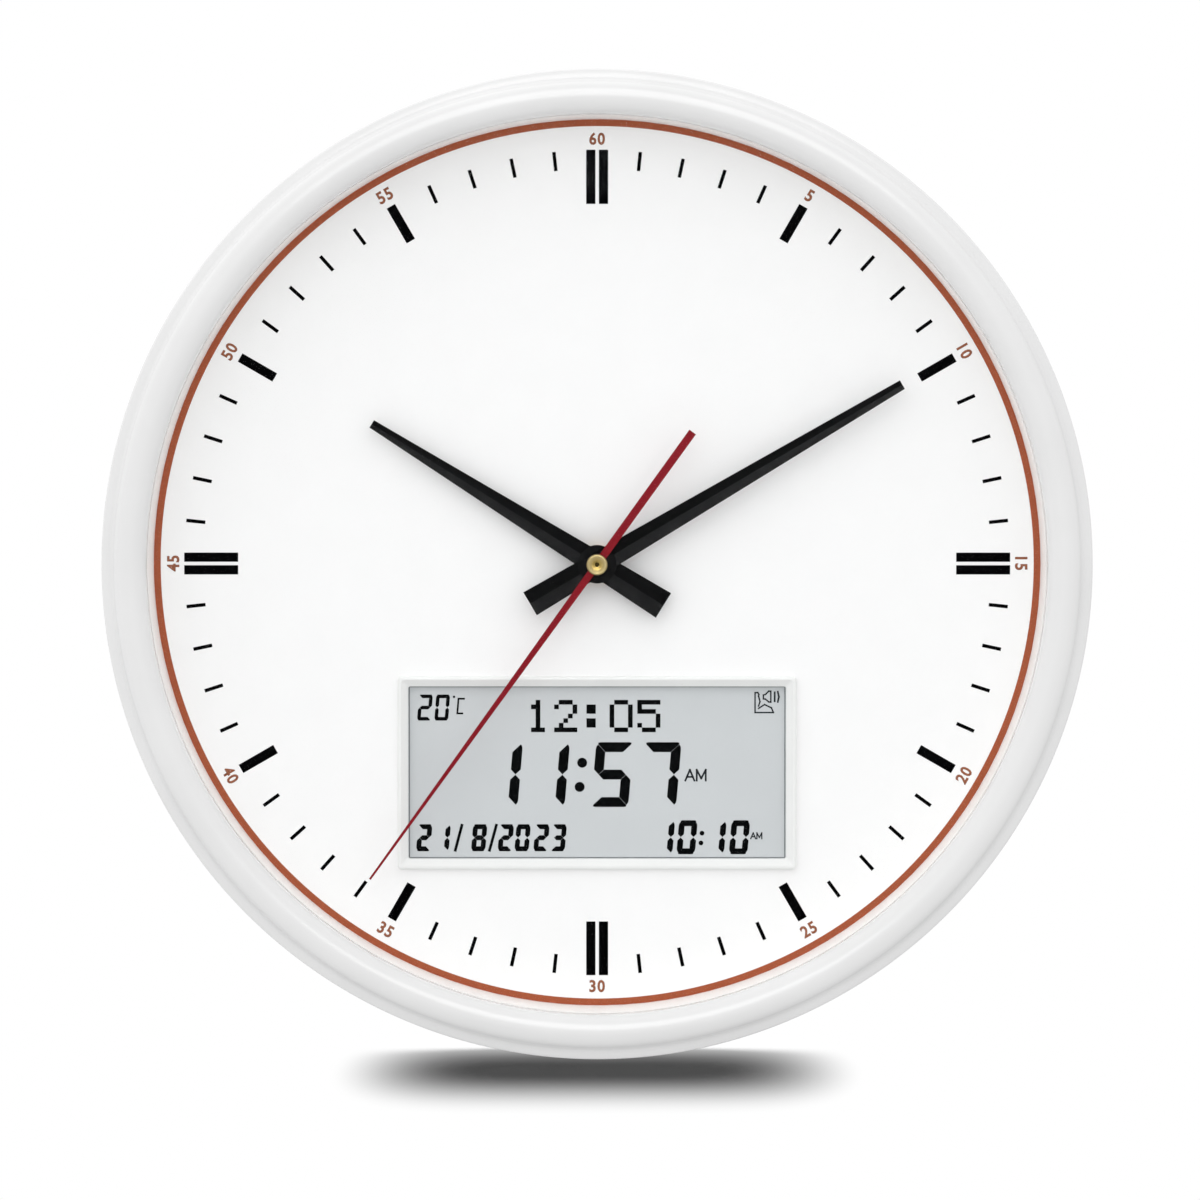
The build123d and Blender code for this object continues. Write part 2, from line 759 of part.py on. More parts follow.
def movement_front_case():
    """Front half of the movement with the threaded bush, bearing bosses and snap hooks."""
    inside = case_inside
    case = slab(movement_side, movement_side, case_split, gasket_rear, 0, 0, 4.0)
    case -= slab(inside, inside, case_split, plate_rear, 0, 0, 2.8)
    case += block(-inside / 2 - 0.3, inside / 2 + 0.3, divider_low, divider_high,
                  case_split, plate_rear + 0.3)
    case += disc(bush_radius, plate_rear, gasket_rear + 5.6)
    case -= disc(hour_pipe_radius + running_gap, plate_rear - 1, gasket_rear + 5.6)
    top = plate_rear + 0.3
    third_boss = tube(1.2, pivot_radius + running_gap, motion_boss_level, top, third_x, third_y)
    knob_boss = tube(1.7, knob_pivot_radius + running_gap, knob_pivot_level, top, knob_x, knob_y)
    stud = disc(stud_radius, motion_boss_level - 0.1, top, minute_x, minute_y)
    for side in (-1, 1):
        for y in (-17, 17):
            case += slab(1.0, 7.0, case_split - 5, case_split + 2, side * (movement_side / 2 + 0.5), y)
    return case + third_boss + knob_boss + stud


def movement_back_case():
    """Rear half with the cell opening, the bearings and the pegs under the stator."""
    inside = case_inside
    case = slab(movement_side, movement_side, movement_rear, case_split, 0, 0, 4.0)
    case -= slab(inside, inside, back_inside, case_split, 0, 0, 2.8)
    case += block(-inside / 2 - 0.3, inside / 2 + 0.3, divider_low, divider_high,
                  back_inside - 0.3, case_split)
    half_cell = cell_length / 2 + 0.15
    case -= block(-half_cell, half_cell, -inside / 2, divider_low - 0.3, movement_rear, back_inside)
    for x, y in ((0, 0), (third_x, third_y), (fifth_x, fifth_y)):
        radius = arbor_radius if x == 0 else pivot_radius
        case += disc(radius + 1.0, back_inside - 0.3, back_inside + 1.9, x, y)
        case -= disc(radius + running_gap, back_inside, back_inside + 1.9, x, y)
    case += disc(1.3, back_inside - 0.3, back_inside + 1.1, rotor_x, rotor_y)
    case -= disc(pivot_radius + running_gap, back_inside, back_inside + 1.1, rotor_x, rotor_y)
    for x, y in ((-13, 10), (13, 21)):
        case += disc(1.2, back_inside - 0.3, stator_rear, x, y)
    return case - disc(knob_shaft_radius + running_gap, movement_rear, back_inside, knob_x, knob_y)


def movement_train_plate():
    """Middle plate that carries the upper pivots of the fast wheels."""
    inside = case_inside
    rear = train_plate_rear
    front = train_plate_front
    plate = block(-inside / 2 + 3, inside / 2 - 3, divider_high, inside / 2, rear, front)
    plate -= disc(arbor_radius + running_gap, rear, front)
    plate -= disc(1.6, rear, front, third_x, third_y)
    plate -= disc(knob_shaft_radius + running_gap, rear, front, knob_x, knob_y)
    plate -= disc(pivot_radius + running_gap, rear, front, fifth_x, fifth_y)
    return plate - disc(pivot_radius + running_gap, rear, front, rotor_x, rotor_y)


def movement_battery():
    return aa_cell(-cell_length / 2, movement_cell_y, movement_cell_level, True, movement_cell_radius)


def movement_contacts():
    """Plates at the two ends of the cell, each with a boss that meets it."""
    outer = movement_side / 2 - case_wall
    inner = outer - 0.4
    reach = inner - cell_length / 2
    half = 4.2
    low = back_inside + 1.3
    high = plate_rear - 1.3
    y_low = movement_cell_y - half
    y_high = movement_cell_y + half
    left = block(-outer, -inner, y_low, y_high, low, high)
    left += rod_along_x(2.2, -inner, -inner + reach, movement_cell_y, movement_cell_level)
    right = block(inner, outer, y_low, y_high, low, high)
    right += rod_along_x(1.8, inner - reach, inner, movement_cell_y, movement_cell_level)
    return Compound([left, right])


def movement_circuit_board():
    x = 5.6 - case_inside / 2
    board = slab(7.6, 22, back_inside, back_inside + 0.8, x, 5)
    top = back_inside + 0.8
    drop = turned((0, top), (2.6, top), ((2.1, top + 0.6), (1.0, top + 0.8)), (0, top + 0.8))
    return board + Pos(x, 2, 0) * drop


def stator():
    """Laminated loop from the coil core to the two pole shoes around the rotor."""
    low = stator_rear
    high = stator_front
    loop = block(-15, 15, 7.8, 14.0, low, high)
    loop += block(-15, -11, 7.8, 23, low, high)
    loop += block(11, 15, 7.8, 23, low, high)
    loop += block(-15, 15, 20, 22, low, high)
    loop -= disc(2.9, low, high, rotor_x, rotor_y)
    for turn in (40, 220):
        notch = Pos(rotor_x, rotor_y, 0) * Rot(0, 0, turn) * block(2.4, 3.5, -0.5, 0.5, low, high)
        loop -= notch
    return loop


def coil():
    """Bobbin with two flanges and its winding, slotted for the core."""
    bobbin = rod_along_x(3.2, -9, 9, 21, stator_front)
    for x in (-9, 8):
        bobbin += block(x, x + 1, 17.6, 24.4, back_inside, back_inside + 7)
    return bobbin - block(-9, 9, 20, 22, stator_rear, stator_front)


# Movement: wheels, arbors and pipes.

def rotor():
    phase = rotor_bearing + 180
    low = rotor_pinion_level
    wheel = disc(2.5, magnet_level, magnet_level + 2.4, rotor_x, rotor_y)
    wheel += disc(0.7, magnet_level + 2.4, low + 0.1, rotor_x, rotor_y)
    wheel += tooth_ring(rotor_teeth, fast_module, phase, low, low + 1.3, rotor_x, rotor_y)
    return wheel + disc(pivot_radius, pivot_base, train_plate_front - 0.2, rotor_x, rotor_y)


def fifth_wheel():
    wheel_phase = meshing_phase(rotor_bearing + 180, rotor_teeth, rotor_bearing + 180, fifth_teeth)
    top = fifth_level + wheel_thickness
    wheel = tooth_ring(fifth_teeth, fast_module, wheel_phase, fifth_level, top, fifth_x, fifth_y)
    wheel += tooth_ring(fifth_pinion_teeth, fast_module, fifth_bearing + 180,
                        top - 0.1, train_plate_rear - 0.3, fifth_x, fifth_y)
    return wheel + disc(pivot_radius, pivot_base, train_plate_front - 0.1, fifth_x, fifth_y)


def second_arbor():
    """Seconds wheel and pinion on the long arbor that carries the second hand."""
    wheel_phase = meshing_phase(fifth_bearing + 180, fifth_pinion_teeth, fifth_bearing + 180, second_teeth)
    low = second_level
    wheel = tooth_ring(second_teeth, fast_module, wheel_phase, low, low + wheel_thickness, 0, 0)
    wheel += tooth_ring(second_pinion_teeth, third_module, third_bearing,
                        second_pinion_level, low + 0.1, 0, 0)
    tip = second_hand_level + 1.2
    return wheel + turned((0, arbor_base), (arbor_radius, arbor_base), (arbor_radius, tip - 0.5),
                          (0.25, tip), (0, tip))


def third_wheel():
    wheel_phase = meshing_phase(third_bearing, second_pinion_teeth, third_bearing, third_teeth)
    top = third_level + wheel_thickness
    wheel = tooth_ring(third_teeth, third_module, wheel_phase, third_level, top, third_x, third_y)
    wheel += tooth_ring(third_pinion_teeth, fast_module, third_bearing + 180,
                        top - 0.1, centre_level + wheel_thickness + 0.2, third_x, third_y)
    return wheel + disc(pivot_radius, pivot_base, motion_boss_level + 1.4, third_x, third_y)


def centre_wheel():
    """Wheel that slips on the minute pipe when the hands are set."""
    wheel_phase = meshing_phase(third_bearing + 180, third_pinion_teeth, third_bearing + 180, centre_teeth)
    top = centre_level + wheel_thickness
    wheel = tooth_ring(centre_teeth, fast_module, wheel_phase, centre_level, top, 0, 0)
    return wheel - disc(minute_pipe_radius + running_gap, centre_level, top)


def minute_pipe():
    top = minute_hand_level + 1.4
    pipe = disc(minute_pipe_radius, centre_level, top)
    pipe += tooth_ring(cannon_teeth, minute_module, minute_bearing, cannon_level, cannon_level + 1.6, 0, 0)
    return pipe - disc(arbor_radius + running_gap, centre_level, top)


def minute_wheel_phase():
    return meshing_phase(minute_bearing, cannon_teeth, minute_bearing, minute_teeth)


def minute_wheel():
    low = minute_level
    top = low + wheel_thickness
    wheel = tooth_ring(minute_teeth, minute_module, minute_wheel_phase(), low, top, minute_x, minute_y)
    wheel += tooth_ring(minute_pinion_teeth, hour_module, minute_bearing + 180,
                        top - 0.1, low + 2.3, minute_x, minute_y)
    return wheel - disc(stud_radius + running_gap, low, low + 2.3, minute_x, minute_y)


def set_knob():
    """Setting knob with its shaft and the pinion that turns the minute wheel."""
    phase = meshing_phase(knob_bearing, minute_teeth, minute_wheel_phase(), knob_teeth)
    knob = tooth_ring(24, 0.38, 0, movement_rear - 2.7, movement_rear - free_gap, knob_x, knob_y)
    low = knob_pinion_level
    knob += disc(knob_shaft_radius, movement_rear - 0.6, low + 0.1, knob_x, knob_y)
    knob += tooth_ring(knob_teeth, minute_module, phase, low, low + 0.9, knob_x, knob_y)
    return knob + disc(knob_pivot_radius, low + 0.8, pivot_end, knob_x, knob_y)


def hour_wheel():
    phase = meshing_phase(minute_bearing + 180, minute_pinion_teeth, minute_bearing + 180, hour_teeth)
    top = hour_hand_level + 1.2
    wheel = tooth_ring(hour_teeth, hour_module, phase, hour_level, hour_level + 0.8, 0, 0)
    wheel += disc(hour_pipe_radius, hour_level, top)
    return wheel - disc(minute_pipe_radius + running_gap, hour_level, top)


# Mounting of the movement on the dial.

def rubber_gasket():
    return tube(13.0, bush_radius + 0.1, gasket_rear, dial_rear)


def mount_washer():
    return tube(washer_radius, bush_radius + 0.1, dial_front, dial_front + washer_thickness)


def mount_nut():
    nut = Pos(0, 0, dial_front + washer_thickness) * extrude(RegularPolygon(washer_radius, 6), 2.4)
    nut = chamfer(nut.faces().sort_by(Axis.Z)[-1].edges(), 0.4)
    return nut - disc(bush_radius + 0.05, dial_front, dial_front + 3)


# Hands.

def creased_hand(reach, tail, tip_width, tail_width, level, hub, bore):
    """Straight taper pressed into a shallow trough along its middle, with a round hub."""
    slope = 0.18
    thickness = 0.45
    wing = tail_width
    outline = make_face(Polyline((-tail_width / 2, -tail), (tail_width / 2, -tail),
                                 (tip_width / 2, reach), (-tip_width / 2, reach), close=True))
    prism = Pos(0, 0, level - 1) * extrude(outline, 6)
    rise = slope * wing
    trough = make_face(Polyline((-wing, 0, level + rise), (0, 0, level), (wing, 0, level + rise),
                                (wing, 0, level + rise + thickness), (0, 0, level + thickness),
                                (-wing, 0, level + rise + thickness), close=True))
    sheet = extrude(trough, amount=reach + 5, dir=(0, 1, 0))
    sheet += extrude(trough, amount=tail + 5, dir=(0, -1, 0))
    hand = (prism & sheet) + disc(hub, level, level + 1.1)
    return hand - disc(bore, level - 1, level + 6)


def turned_to(angle, hand):
    return Rot(0, 0, -angle) * hand


def hour_hand():
    hand = creased_hand(hour_hand_reach, hour_hand_tail, 2.9, 9.7,
                        hour_hand_level, hub_radius, hour_pipe_radius)
    return turned_to(hour_hand_angle, hand)


def minute_hand():
    hand = creased_hand(minute_hand_reach, minute_hand_tail, 3.3, 8.9,
                        minute_hand_level, hub_radius, minute_pipe_radius)
    return turned_to(minute_hand_angle, hand)


def second_hand():
    """Thin pointer with a wider counterweight tail."""
    tail = -second_hand_tail
    tip = second_hand_reach
    outline = make_face(Polyline((-1.35, tail), (1.35, tail), (1.3, -6), (1.2, 6), (0.35, tip), (-0.35, tip),
                                 (-1.2, 6), (-1.3, -6), close=True))
    low = second_hand_level
    hand = Pos(0, 0, low) * extrude(outline, 0.5)
    hand += disc(3.4, low, low + 0.5)
    return turned_to(second_hand_angle, hand - disc(arbor_radius, low, low + 0.5))


def second_hand_boss():
    """Brass cap over the arbor end, dished on top with a small centre hole."""
    low = second_hand_level + 0.5
    return turned(
        (arbor_radius, low), (3.5, low), (3.5, low + 1.7), ((3.35, low + 2.05), (3.0, low + 2.2)),
        (1.9, low + 1.75), (arbor_radius, low + 1.6))


def main():
    os.makedirs("parts", exist_ok=True)
    makers = (
        front_frame, front_glass, dial_spacer_ring, dial_plate,
        rear_housing, housing_screws, hanger_plate, hanger_screws,
        battery_door, display_batteries, battery_springs, battery_contact_plates,
        display_bezel, lcd_panel, lcd_reflector, zebra_strips, display_carrier, module_screws,
        main_circuit_board, controller_chip, module_crystal, filter_capacitor, temperature_sensor,
        key_circuit_board, key_board_screws, tact_switches,
        speaker_basket, speaker_cone, speaker_magnet, speaker_screws,
        movement_front_case, movement_back_case, movement_train_plate, movement_battery,
        movement_contacts, movement_circuit_board, stator, coil,
        rotor, fifth_wheel, second_arbor, third_wheel, centre_wheel,
        minute_pipe, minute_wheel, set_knob, hour_wheel,
        rubber_gasket, mount_washer, mount_nut,
        hour_hand, minute_hand, second_hand, second_hand_boss)
    for maker in makers:
        save(maker.__name__, maker())
    for index, name in enumerate(button_names):
        save(f"button_{name}", button(index))


main()
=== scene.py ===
from math import cos, hypot, pi, radians, sin

import bmesh
import bpy
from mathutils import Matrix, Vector


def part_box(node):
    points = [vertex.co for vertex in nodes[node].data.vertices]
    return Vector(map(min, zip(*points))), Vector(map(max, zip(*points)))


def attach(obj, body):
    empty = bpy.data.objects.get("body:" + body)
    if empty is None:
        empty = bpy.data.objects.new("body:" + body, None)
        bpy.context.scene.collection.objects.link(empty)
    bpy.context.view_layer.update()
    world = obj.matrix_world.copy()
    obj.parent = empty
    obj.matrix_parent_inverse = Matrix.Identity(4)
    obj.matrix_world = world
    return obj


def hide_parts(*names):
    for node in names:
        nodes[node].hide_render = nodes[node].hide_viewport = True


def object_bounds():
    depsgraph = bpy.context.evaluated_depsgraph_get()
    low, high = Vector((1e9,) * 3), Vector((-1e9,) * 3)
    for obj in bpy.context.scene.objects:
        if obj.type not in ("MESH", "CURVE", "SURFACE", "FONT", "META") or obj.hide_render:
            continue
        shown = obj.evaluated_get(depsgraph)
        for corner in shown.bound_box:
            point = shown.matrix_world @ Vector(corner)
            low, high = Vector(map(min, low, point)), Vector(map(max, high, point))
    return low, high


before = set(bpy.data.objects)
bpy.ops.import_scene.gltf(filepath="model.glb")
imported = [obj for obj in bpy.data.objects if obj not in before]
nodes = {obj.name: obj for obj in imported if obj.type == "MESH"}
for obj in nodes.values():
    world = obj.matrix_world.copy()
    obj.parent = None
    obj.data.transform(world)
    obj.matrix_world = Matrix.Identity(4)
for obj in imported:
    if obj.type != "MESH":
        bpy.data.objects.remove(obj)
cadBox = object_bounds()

mm = 0.001
weldDistance = 1e-7
caseBody = "clock_case"
scene = bpy.context.scene
print("frame loaded:", len(nodes), "nodes")


# places read from the frame: the hand axis, the dial face, the display and the floor
def middle(node):
    low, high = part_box(node)
    return [(low[axis] + high[axis]) / 2 for axis in range(3)]


dialX, dialZ = middle("dial_plate")[0], middle("dial_plate")[2]
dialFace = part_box("dial_plate")[0][1]
displayX, displayZ = middle("display_bezel")[0], middle("display_bezel")[2]
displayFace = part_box("lcd_panel")[0][1]
frontFace = cadBox[0][1]
floorLevel = cadBox[0][2]


# short ways to build a material's nodes
def tone(red, green, blue):
    channels = []  # screen values of 0 to 255, turned into the linear values of a shader
    for value in (red, green, blue):
        share = value / 255
        channels.append(share / 12.92 if share <= 0.04045 else ((share + 0.055) / 1.055) ** 2.4)
    return (*channels, 1.0)


def newMaterial(name):
    material = bpy.data.materials.new(name)
    material.use_nodes = True
    tree = material.node_tree
    return material, tree, tree.nodes["Principled BSDF"]


def addNode(tree, kind, **settings):
    node = tree.nodes.new(kind)
    for key, value in settings.items():
        if hasattr(node, key):
            setattr(node, key, value)
        else:
            node.inputs[key].default_value = value
    return node


def objectPlace(tree, stretch=(1, 1, 1), shift=(0, 0, 0)):
    coordinate = addNode(tree, "ShaderNodeTexCoord")
    mapping = addNode(tree, "ShaderNodeMapping", Scale=stretch, Location=shift)
    tree.links.new(coordinate.outputs["Object"], mapping.inputs["Vector"])
    return mapping.outputs["Vector"]


def speckle(tree, place, scale, detail=3.0):
    noise = addNode(tree, "ShaderNodeTexNoise", Scale=scale, Detail=detail)
    tree.links.new(place, noise.inputs["Vector"])
    return noise.outputs["Fac"]


def colourBetween(tree, value, low, high, start=0.3, end=0.7):
    ramp = addNode(tree, "ShaderNodeValToRGB")
    for element, position, colour in zip(ramp.color_ramp.elements, (start, end), (low, high)):
        element.position = position
        element.color = colour
    tree.links.new(value, ramp.inputs["Fac"])
    return ramp.outputs["Color"]


def valueBetween(tree, value, low, high):
    spread = addNode(tree, "ShaderNodeMapRange")
    spread.inputs["To Min"].default_value = low
    spread.inputs["To Max"].default_value = high
    tree.links.new(value, spread.inputs["Value"])
    return spread.outputs["Result"]


def addRelief(tree, shader, height, strength, depth):
    bump = addNode(tree, "ShaderNodeBump", Strength=strength, Distance=depth * mm)
    tree.links.new(height, bump.inputs["Height"])
    tree.links.new(bump.outputs["Normal"], shader.inputs["Normal"])


def raysThatSee(tree):
    # camera, mirror and glass rays, which meet the white ground itself
    path = addNode(tree, "ShaderNodeLightPath")
    seen = path.outputs["Is Camera Ray"]
    for name in ("Is Glossy Ray", "Is Transmission Ray"):
        either = addNode(tree, "ShaderNodeMath", operation="MAXIMUM")
        tree.links.new(seen, either.inputs[0])
        tree.links.new(path.outputs[name], either.inputs[1])
        seen = either.outputs[0]
    return seen


# what a finish has when its own dictionary doesn't say
plainLook = {"metal": 0.0, "ior": 1.46, "specular": 0.5, "coat": 0.0, "coatRoughness": 0.05,
             "stretch": (1, 1, 1), "glossGrain": 2.7, "reliefDetail": 2.0, "reliefDepth": 0.05}


def surfaceFinish(name, ownLook):
    # a colour and a gloss that both drift a little, over a fine relief
    look = {**plainLook, **ownLook}
    material, tree, shader = newMaterial(name)
    for socket, key in (("Metallic", "metal"), ("IOR", "ior"), ("Specular IOR Level", "specular"),
                        ("Coat Weight", "coat"), ("Coat Roughness", "coatRoughness")):
        shader.inputs[socket].default_value = look[key]
    place = objectPlace(tree, look["stretch"])
    drift = speckle(tree, place, look["grain"])
    tree.links.new(colourBetween(tree, drift, look["shade"], look["colour"]), shader.inputs["Base Color"])
    shine = speckle(tree, place, look["grain"] * look["glossGrain"])
    tree.links.new(valueBetween(tree, shine, *look["roughness"]), shader.inputs["Roughness"])
    height = speckle(tree, place, look["reliefGrain"], look["reliefDetail"])
    addRelief(tree, shader, height, look["relief"], look["reliefDepth"])
    return material


def dress(slotName, material):
    # gives the finish to every node of the frame that carries this slot
    for node in nodes.values():
        for slot in node.material_slots:
            if slot.material and slot.material.name.split(".")[0] == slotName:
                slot.material = material


# mesh helpers: x runs right and z up on the face, y goes into the wall
def addPrism(mesh, outline, front, back):
    area = sum(a[0] * b[1] - b[0] * a[1] for a, b in zip(outline, outline[1:] + outline[:1]))
    points = outline if area > 0 else outline[::-1]
    near = [mesh.verts.new((x, front, z)) for x, z in points]
    far = [mesh.verts.new((x, back, z)) for x, z in points]
    mesh.faces.new(near)
    mesh.faces.new(far[::-1])
    for a, b, c, d in zip(near, far, far[1:] + far[:1], near[1:] + near[:1]):
        mesh.faces.new((d, a, b, c))


def addTurned(mesh, profile, steps):
    # a closed profile of radius and level, turned round the hand axis
    loops = [[mesh.verts.new((dialX + radius * sin(2 * pi * k / steps), level,
                              dialZ + radius * cos(2 * pi * k / steps))) for k in range(steps)]
             for radius, level in profile]
    for a, b in zip(loops, loops[1:] + loops[:1]):
        for k in range(steps):
            n = (k + 1) % steps
            mesh.faces.new((a[k], b[k], b[n], a[n]))


def curvePoints(start, pull, push, end, steps):
    # points of a bend from start towards end, without the start itself
    points = []
    for k in range(1, steps + 1):
        t = k / steps
        shares = ((1 - t) ** 3, 3 * t * (1 - t) ** 2, 3 * t * t * (1 - t), t ** 3)
        points.append(tuple(sum(share * p[axis] for share, p in zip(shares, (start, pull, push, end)))
                            for axis in (0, 1)))
    return points


def addPiece(mesh, name, material, body=caseBody, smooth=None):
    bmesh.ops.remove_doubles(mesh, verts=mesh.verts, dist=weldDistance)
    bmesh.ops.recalc_face_normals(mesh, faces=mesh.faces)
    data = bpy.data.meshes.new(name)
    mesh.to_mesh(data)
    mesh.free()
    if smooth:
        data.polygons.foreach_set("use_smooth", [True] * len(data.polygons))
        data.set_sharp_from_angle(angle=radians(smooth))
    piece = bpy.data.objects.new(name, data)
    piece.data.materials.append(material)
    scene.collection.objects.link(piece)
    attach(piece, body)
    return piece


def onDial(bearing, radius, across=0.0):
    # point at a clock bearing in degrees, with a step to the side
    angle = radians(bearing)
    return (dialX + radius * sin(angle) + across * cos(angle),
            dialZ + radius * cos(angle) - across * sin(angle))


# finishes of the case
frameLook = {"colour": tone(232, 232, 232), "shade": tone(229, 229, 229), "grain": 40,
             "roughness": (0.2, 0.27), "relief": 0.04, "reliefGrain": 300, "specular": 0.3, "coat": 0.1}
frameGloss = surfaceFinish("frameGloss", frameLook)
dress("frame_white", frameGloss)

# the frame itself, with the step behind its crest and the flat outer flange drawn crisply;
# each pair is a radius and a depth behind the crest, in millimetres
frameShape = {
    "glassSeat": (150.0, 6.0),
    "bends": [  # start, the two points that pull the bend, end, and the number of points
        ((150.0, 4.4), (150.0, 1.8), (152.6, 0.0), (156.0, 0.0), 8),  # lip up to the crest
        ((156.0, 0.0), (157.6, 0.0), (159.1, 0.25), (160.0, 0.9), 8),  # crest to the brow
        ((160.0, 0.9), (160.7, 1.45), (160.85, 2.5), (161.3, 3.0), 8),  # step behind the brow
        ((161.3, 3.0), (161.55, 3.3), (161.9, 3.58), (162.4, 3.6), 5),  # foot of the step
        ((164.2, 3.75), (164.7, 3.8), (165.0, 4.25), (165.0, 4.75), 6),  # edge of the flange
    ],
    "skirt": [(165.0, 34.0), (162.6, 34.0), (162.6, 8.0), (153.4, 6.0)],
    "rib": [(156.5, 2.0), (158.1, 2.0), (158.1, 26.0), (156.5, 26.0)],
    "posts": {"count": 6, "first": 30, "place": 160.2, "radius": 3.2, "front": 7.0, "back": 34.0,
              "sides": 24},
    "steps": 288, "sharpAngle": 40,
}


def behindCrest(profile):
    return [(radius * mm, frontFace + depth * mm) for radius, depth in profile]


def frameProfile(shape):
    profile = [shape["glassSeat"], shape["bends"][0][0]]
    for start, pull, push, end, count in shape["bends"]:
        profile += curvePoints(start, pull, push, end, count)
    return profile + shape["skirt"]


def addPosts(mesh, posts):
    turn = 2 * pi / posts["sides"]
    for post in range(posts["count"]):
        x, z = onDial(posts["first"] + 360 / posts["count"] * post, posts["place"] * mm)
        circle = [(x + posts["radius"] * mm * cos(turn * k), z + posts["radius"] * mm * sin(turn * k))
                  for k in range(posts["sides"])]
        addPrism(mesh, circle, frontFace + posts["front"] * mm, frontFace + posts["back"] * mm)


mesh = bmesh.new()
addTurned(mesh, behindCrest(frameProfile(frameShape)), frameShape["steps"])
addTurned(mesh, behindCrest(frameShape["rib"]), frameShape["steps"])
addPosts(mesh, frameShape["posts"])
frameRing = addPiece(mesh, "frameRing", frameGloss, smooth=frameShape["sharpAngle"])
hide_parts("front_frame")

wallLook = {"colour": tone(252, 251, 249), "shade": tone(250, 249, 247), "grain": 60,
            "roughness": (0.3, 0.36), "relief": 0.03, "reliefGrain": 200, "specular": 0.4}
dress("spacer_white", surfaceFinish("innerWallSatin", wallLook))

dialLook = {"colour": tone(252, 252, 252), "shade": tone(250, 250, 250), "grain": 90,
            "roughness": (0.5, 0.6), "relief": 0.05, "reliefGrain": 3500, "reliefDepth": 0.01,
            "specular": 0.2}
dress("dial_white", surfaceFinish("dialLacquer", dialLook))

housingLook = {"colour": tone(234, 234, 231), "shade": tone(231, 231, 228), "grain": 600,
               "roughness": (0.5, 0.62), "relief": 0.35, "reliefGrain": 1800, "reliefDepth": 0.08}
dress("housing_white", surfaceFinish("housingGrained", housingLook))

bezelLook = {"colour": tone(240, 241, 240), "shade": tone(237, 238, 237), "grain": 80,
             "roughness": (0.3, 0.38), "relief": 0.04, "reliefGrain": 900, "specular": 0.4}
dress("display_rim_white", surfaceFinish("bezelSatin", bezelLook))

buttonLook = {"colour": tone(176, 178, 180), "shade": tone(164, 166, 168), "grain": 400,
              "roughness": (0.4, 0.5), "relief": 0.2, "reliefGrain": 2500}
dress("button_grey", surfaceFinish("buttonPlastic", buttonLook))
print("case finishes done")


# the cover glass lets lamps and scattered light straight through, so the dial is lit as it is
glassLook = {"tint": (0.995, 0.998, 0.998, 1.0), "ior": 1.05, "grain": 9, "haze": 0.01}


def clearGlass(look):
    material, tree, shader = newMaterial("coverGlass")
    shader.inputs["Base Color"].default_value = look["tint"]
    shader.inputs["Transmission Weight"].default_value = 1.0
    shader.inputs["IOR"].default_value = look["ior"]
    haze = valueBetween(tree, speckle(tree, objectPlace(tree), look["grain"]), 0.0, look["haze"])
    tree.links.new(haze, shader.inputs["Roughness"])
    through = addNode(tree, "ShaderNodeBsdfTransparent")
    path = addNode(tree, "ShaderNodeLightPath")
    either = addNode(tree, "ShaderNodeMath", operation="MAXIMUM")
    blend = addNode(tree, "ShaderNodeMixShader")
    tree.links.new(path.outputs["Is Shadow Ray"], either.inputs[0])
    tree.links.new(path.outputs["Is Diffuse Ray"], either.inputs[1])
    tree.links.new(either.outputs[0], blend.inputs["Fac"])
    tree.links.new(shader.outputs[0], blend.inputs[1])
    tree.links.new(through.outputs[0], blend.inputs[2])
    tree.links.new(blend.outputs[0], tree.nodes["Material Output"].inputs["Surface"])
    return material


dress("clear_glass", clearGlass(glassLook))


# hands and their brass boss
handLook = {"colour": tone(8, 8, 9), "shade": tone(5, 5, 6), "grain": 500,
            "roughness": (0.24, 0.3), "relief": 0.06, "reliefGrain": 2500, "specular": 0.05}
dress("hand_black", surfaceFinish("handLacquer", handLook))

redLook = {"colour": tone(134, 16, 30), "shade": tone(127, 14, 27), "grain": 300,
           "roughness": (0.35, 0.42), "relief": 0.05, "reliefGrain": 2500, "specular": 0.08}
dress("hand_red", surfaceFinish("secondHandLacquer", redLook))

# painted shade and highlight: the bands darken the centre and the rim and lighten a ring between them
brassLook = {"bands": [(0.0, tone(104, 90, 44)), (0.4, tone(138, 118, 66)), (0.78, tone(176, 160, 116)),
                       (1.0, tone(146, 128, 84))],
             "radius": 3.6, "rings": 1500, "wander": 1.5, "detail": 2.0, "roughness": (0.24, 0.36),
             "relief": 0.2, "reliefDepth": 0.02}
# painted shade: the arbor's point gets a dark olive metal so that the hole of the boss reads dark
arborTipShadeLook = {"colour": tone(84, 72, 36), "shade": tone(64, 54, 26), "grain": 900, "metal": 1.0,
             "roughness": (0.45, 0.55), "relief": 0.1, "reliefGrain": 2500}


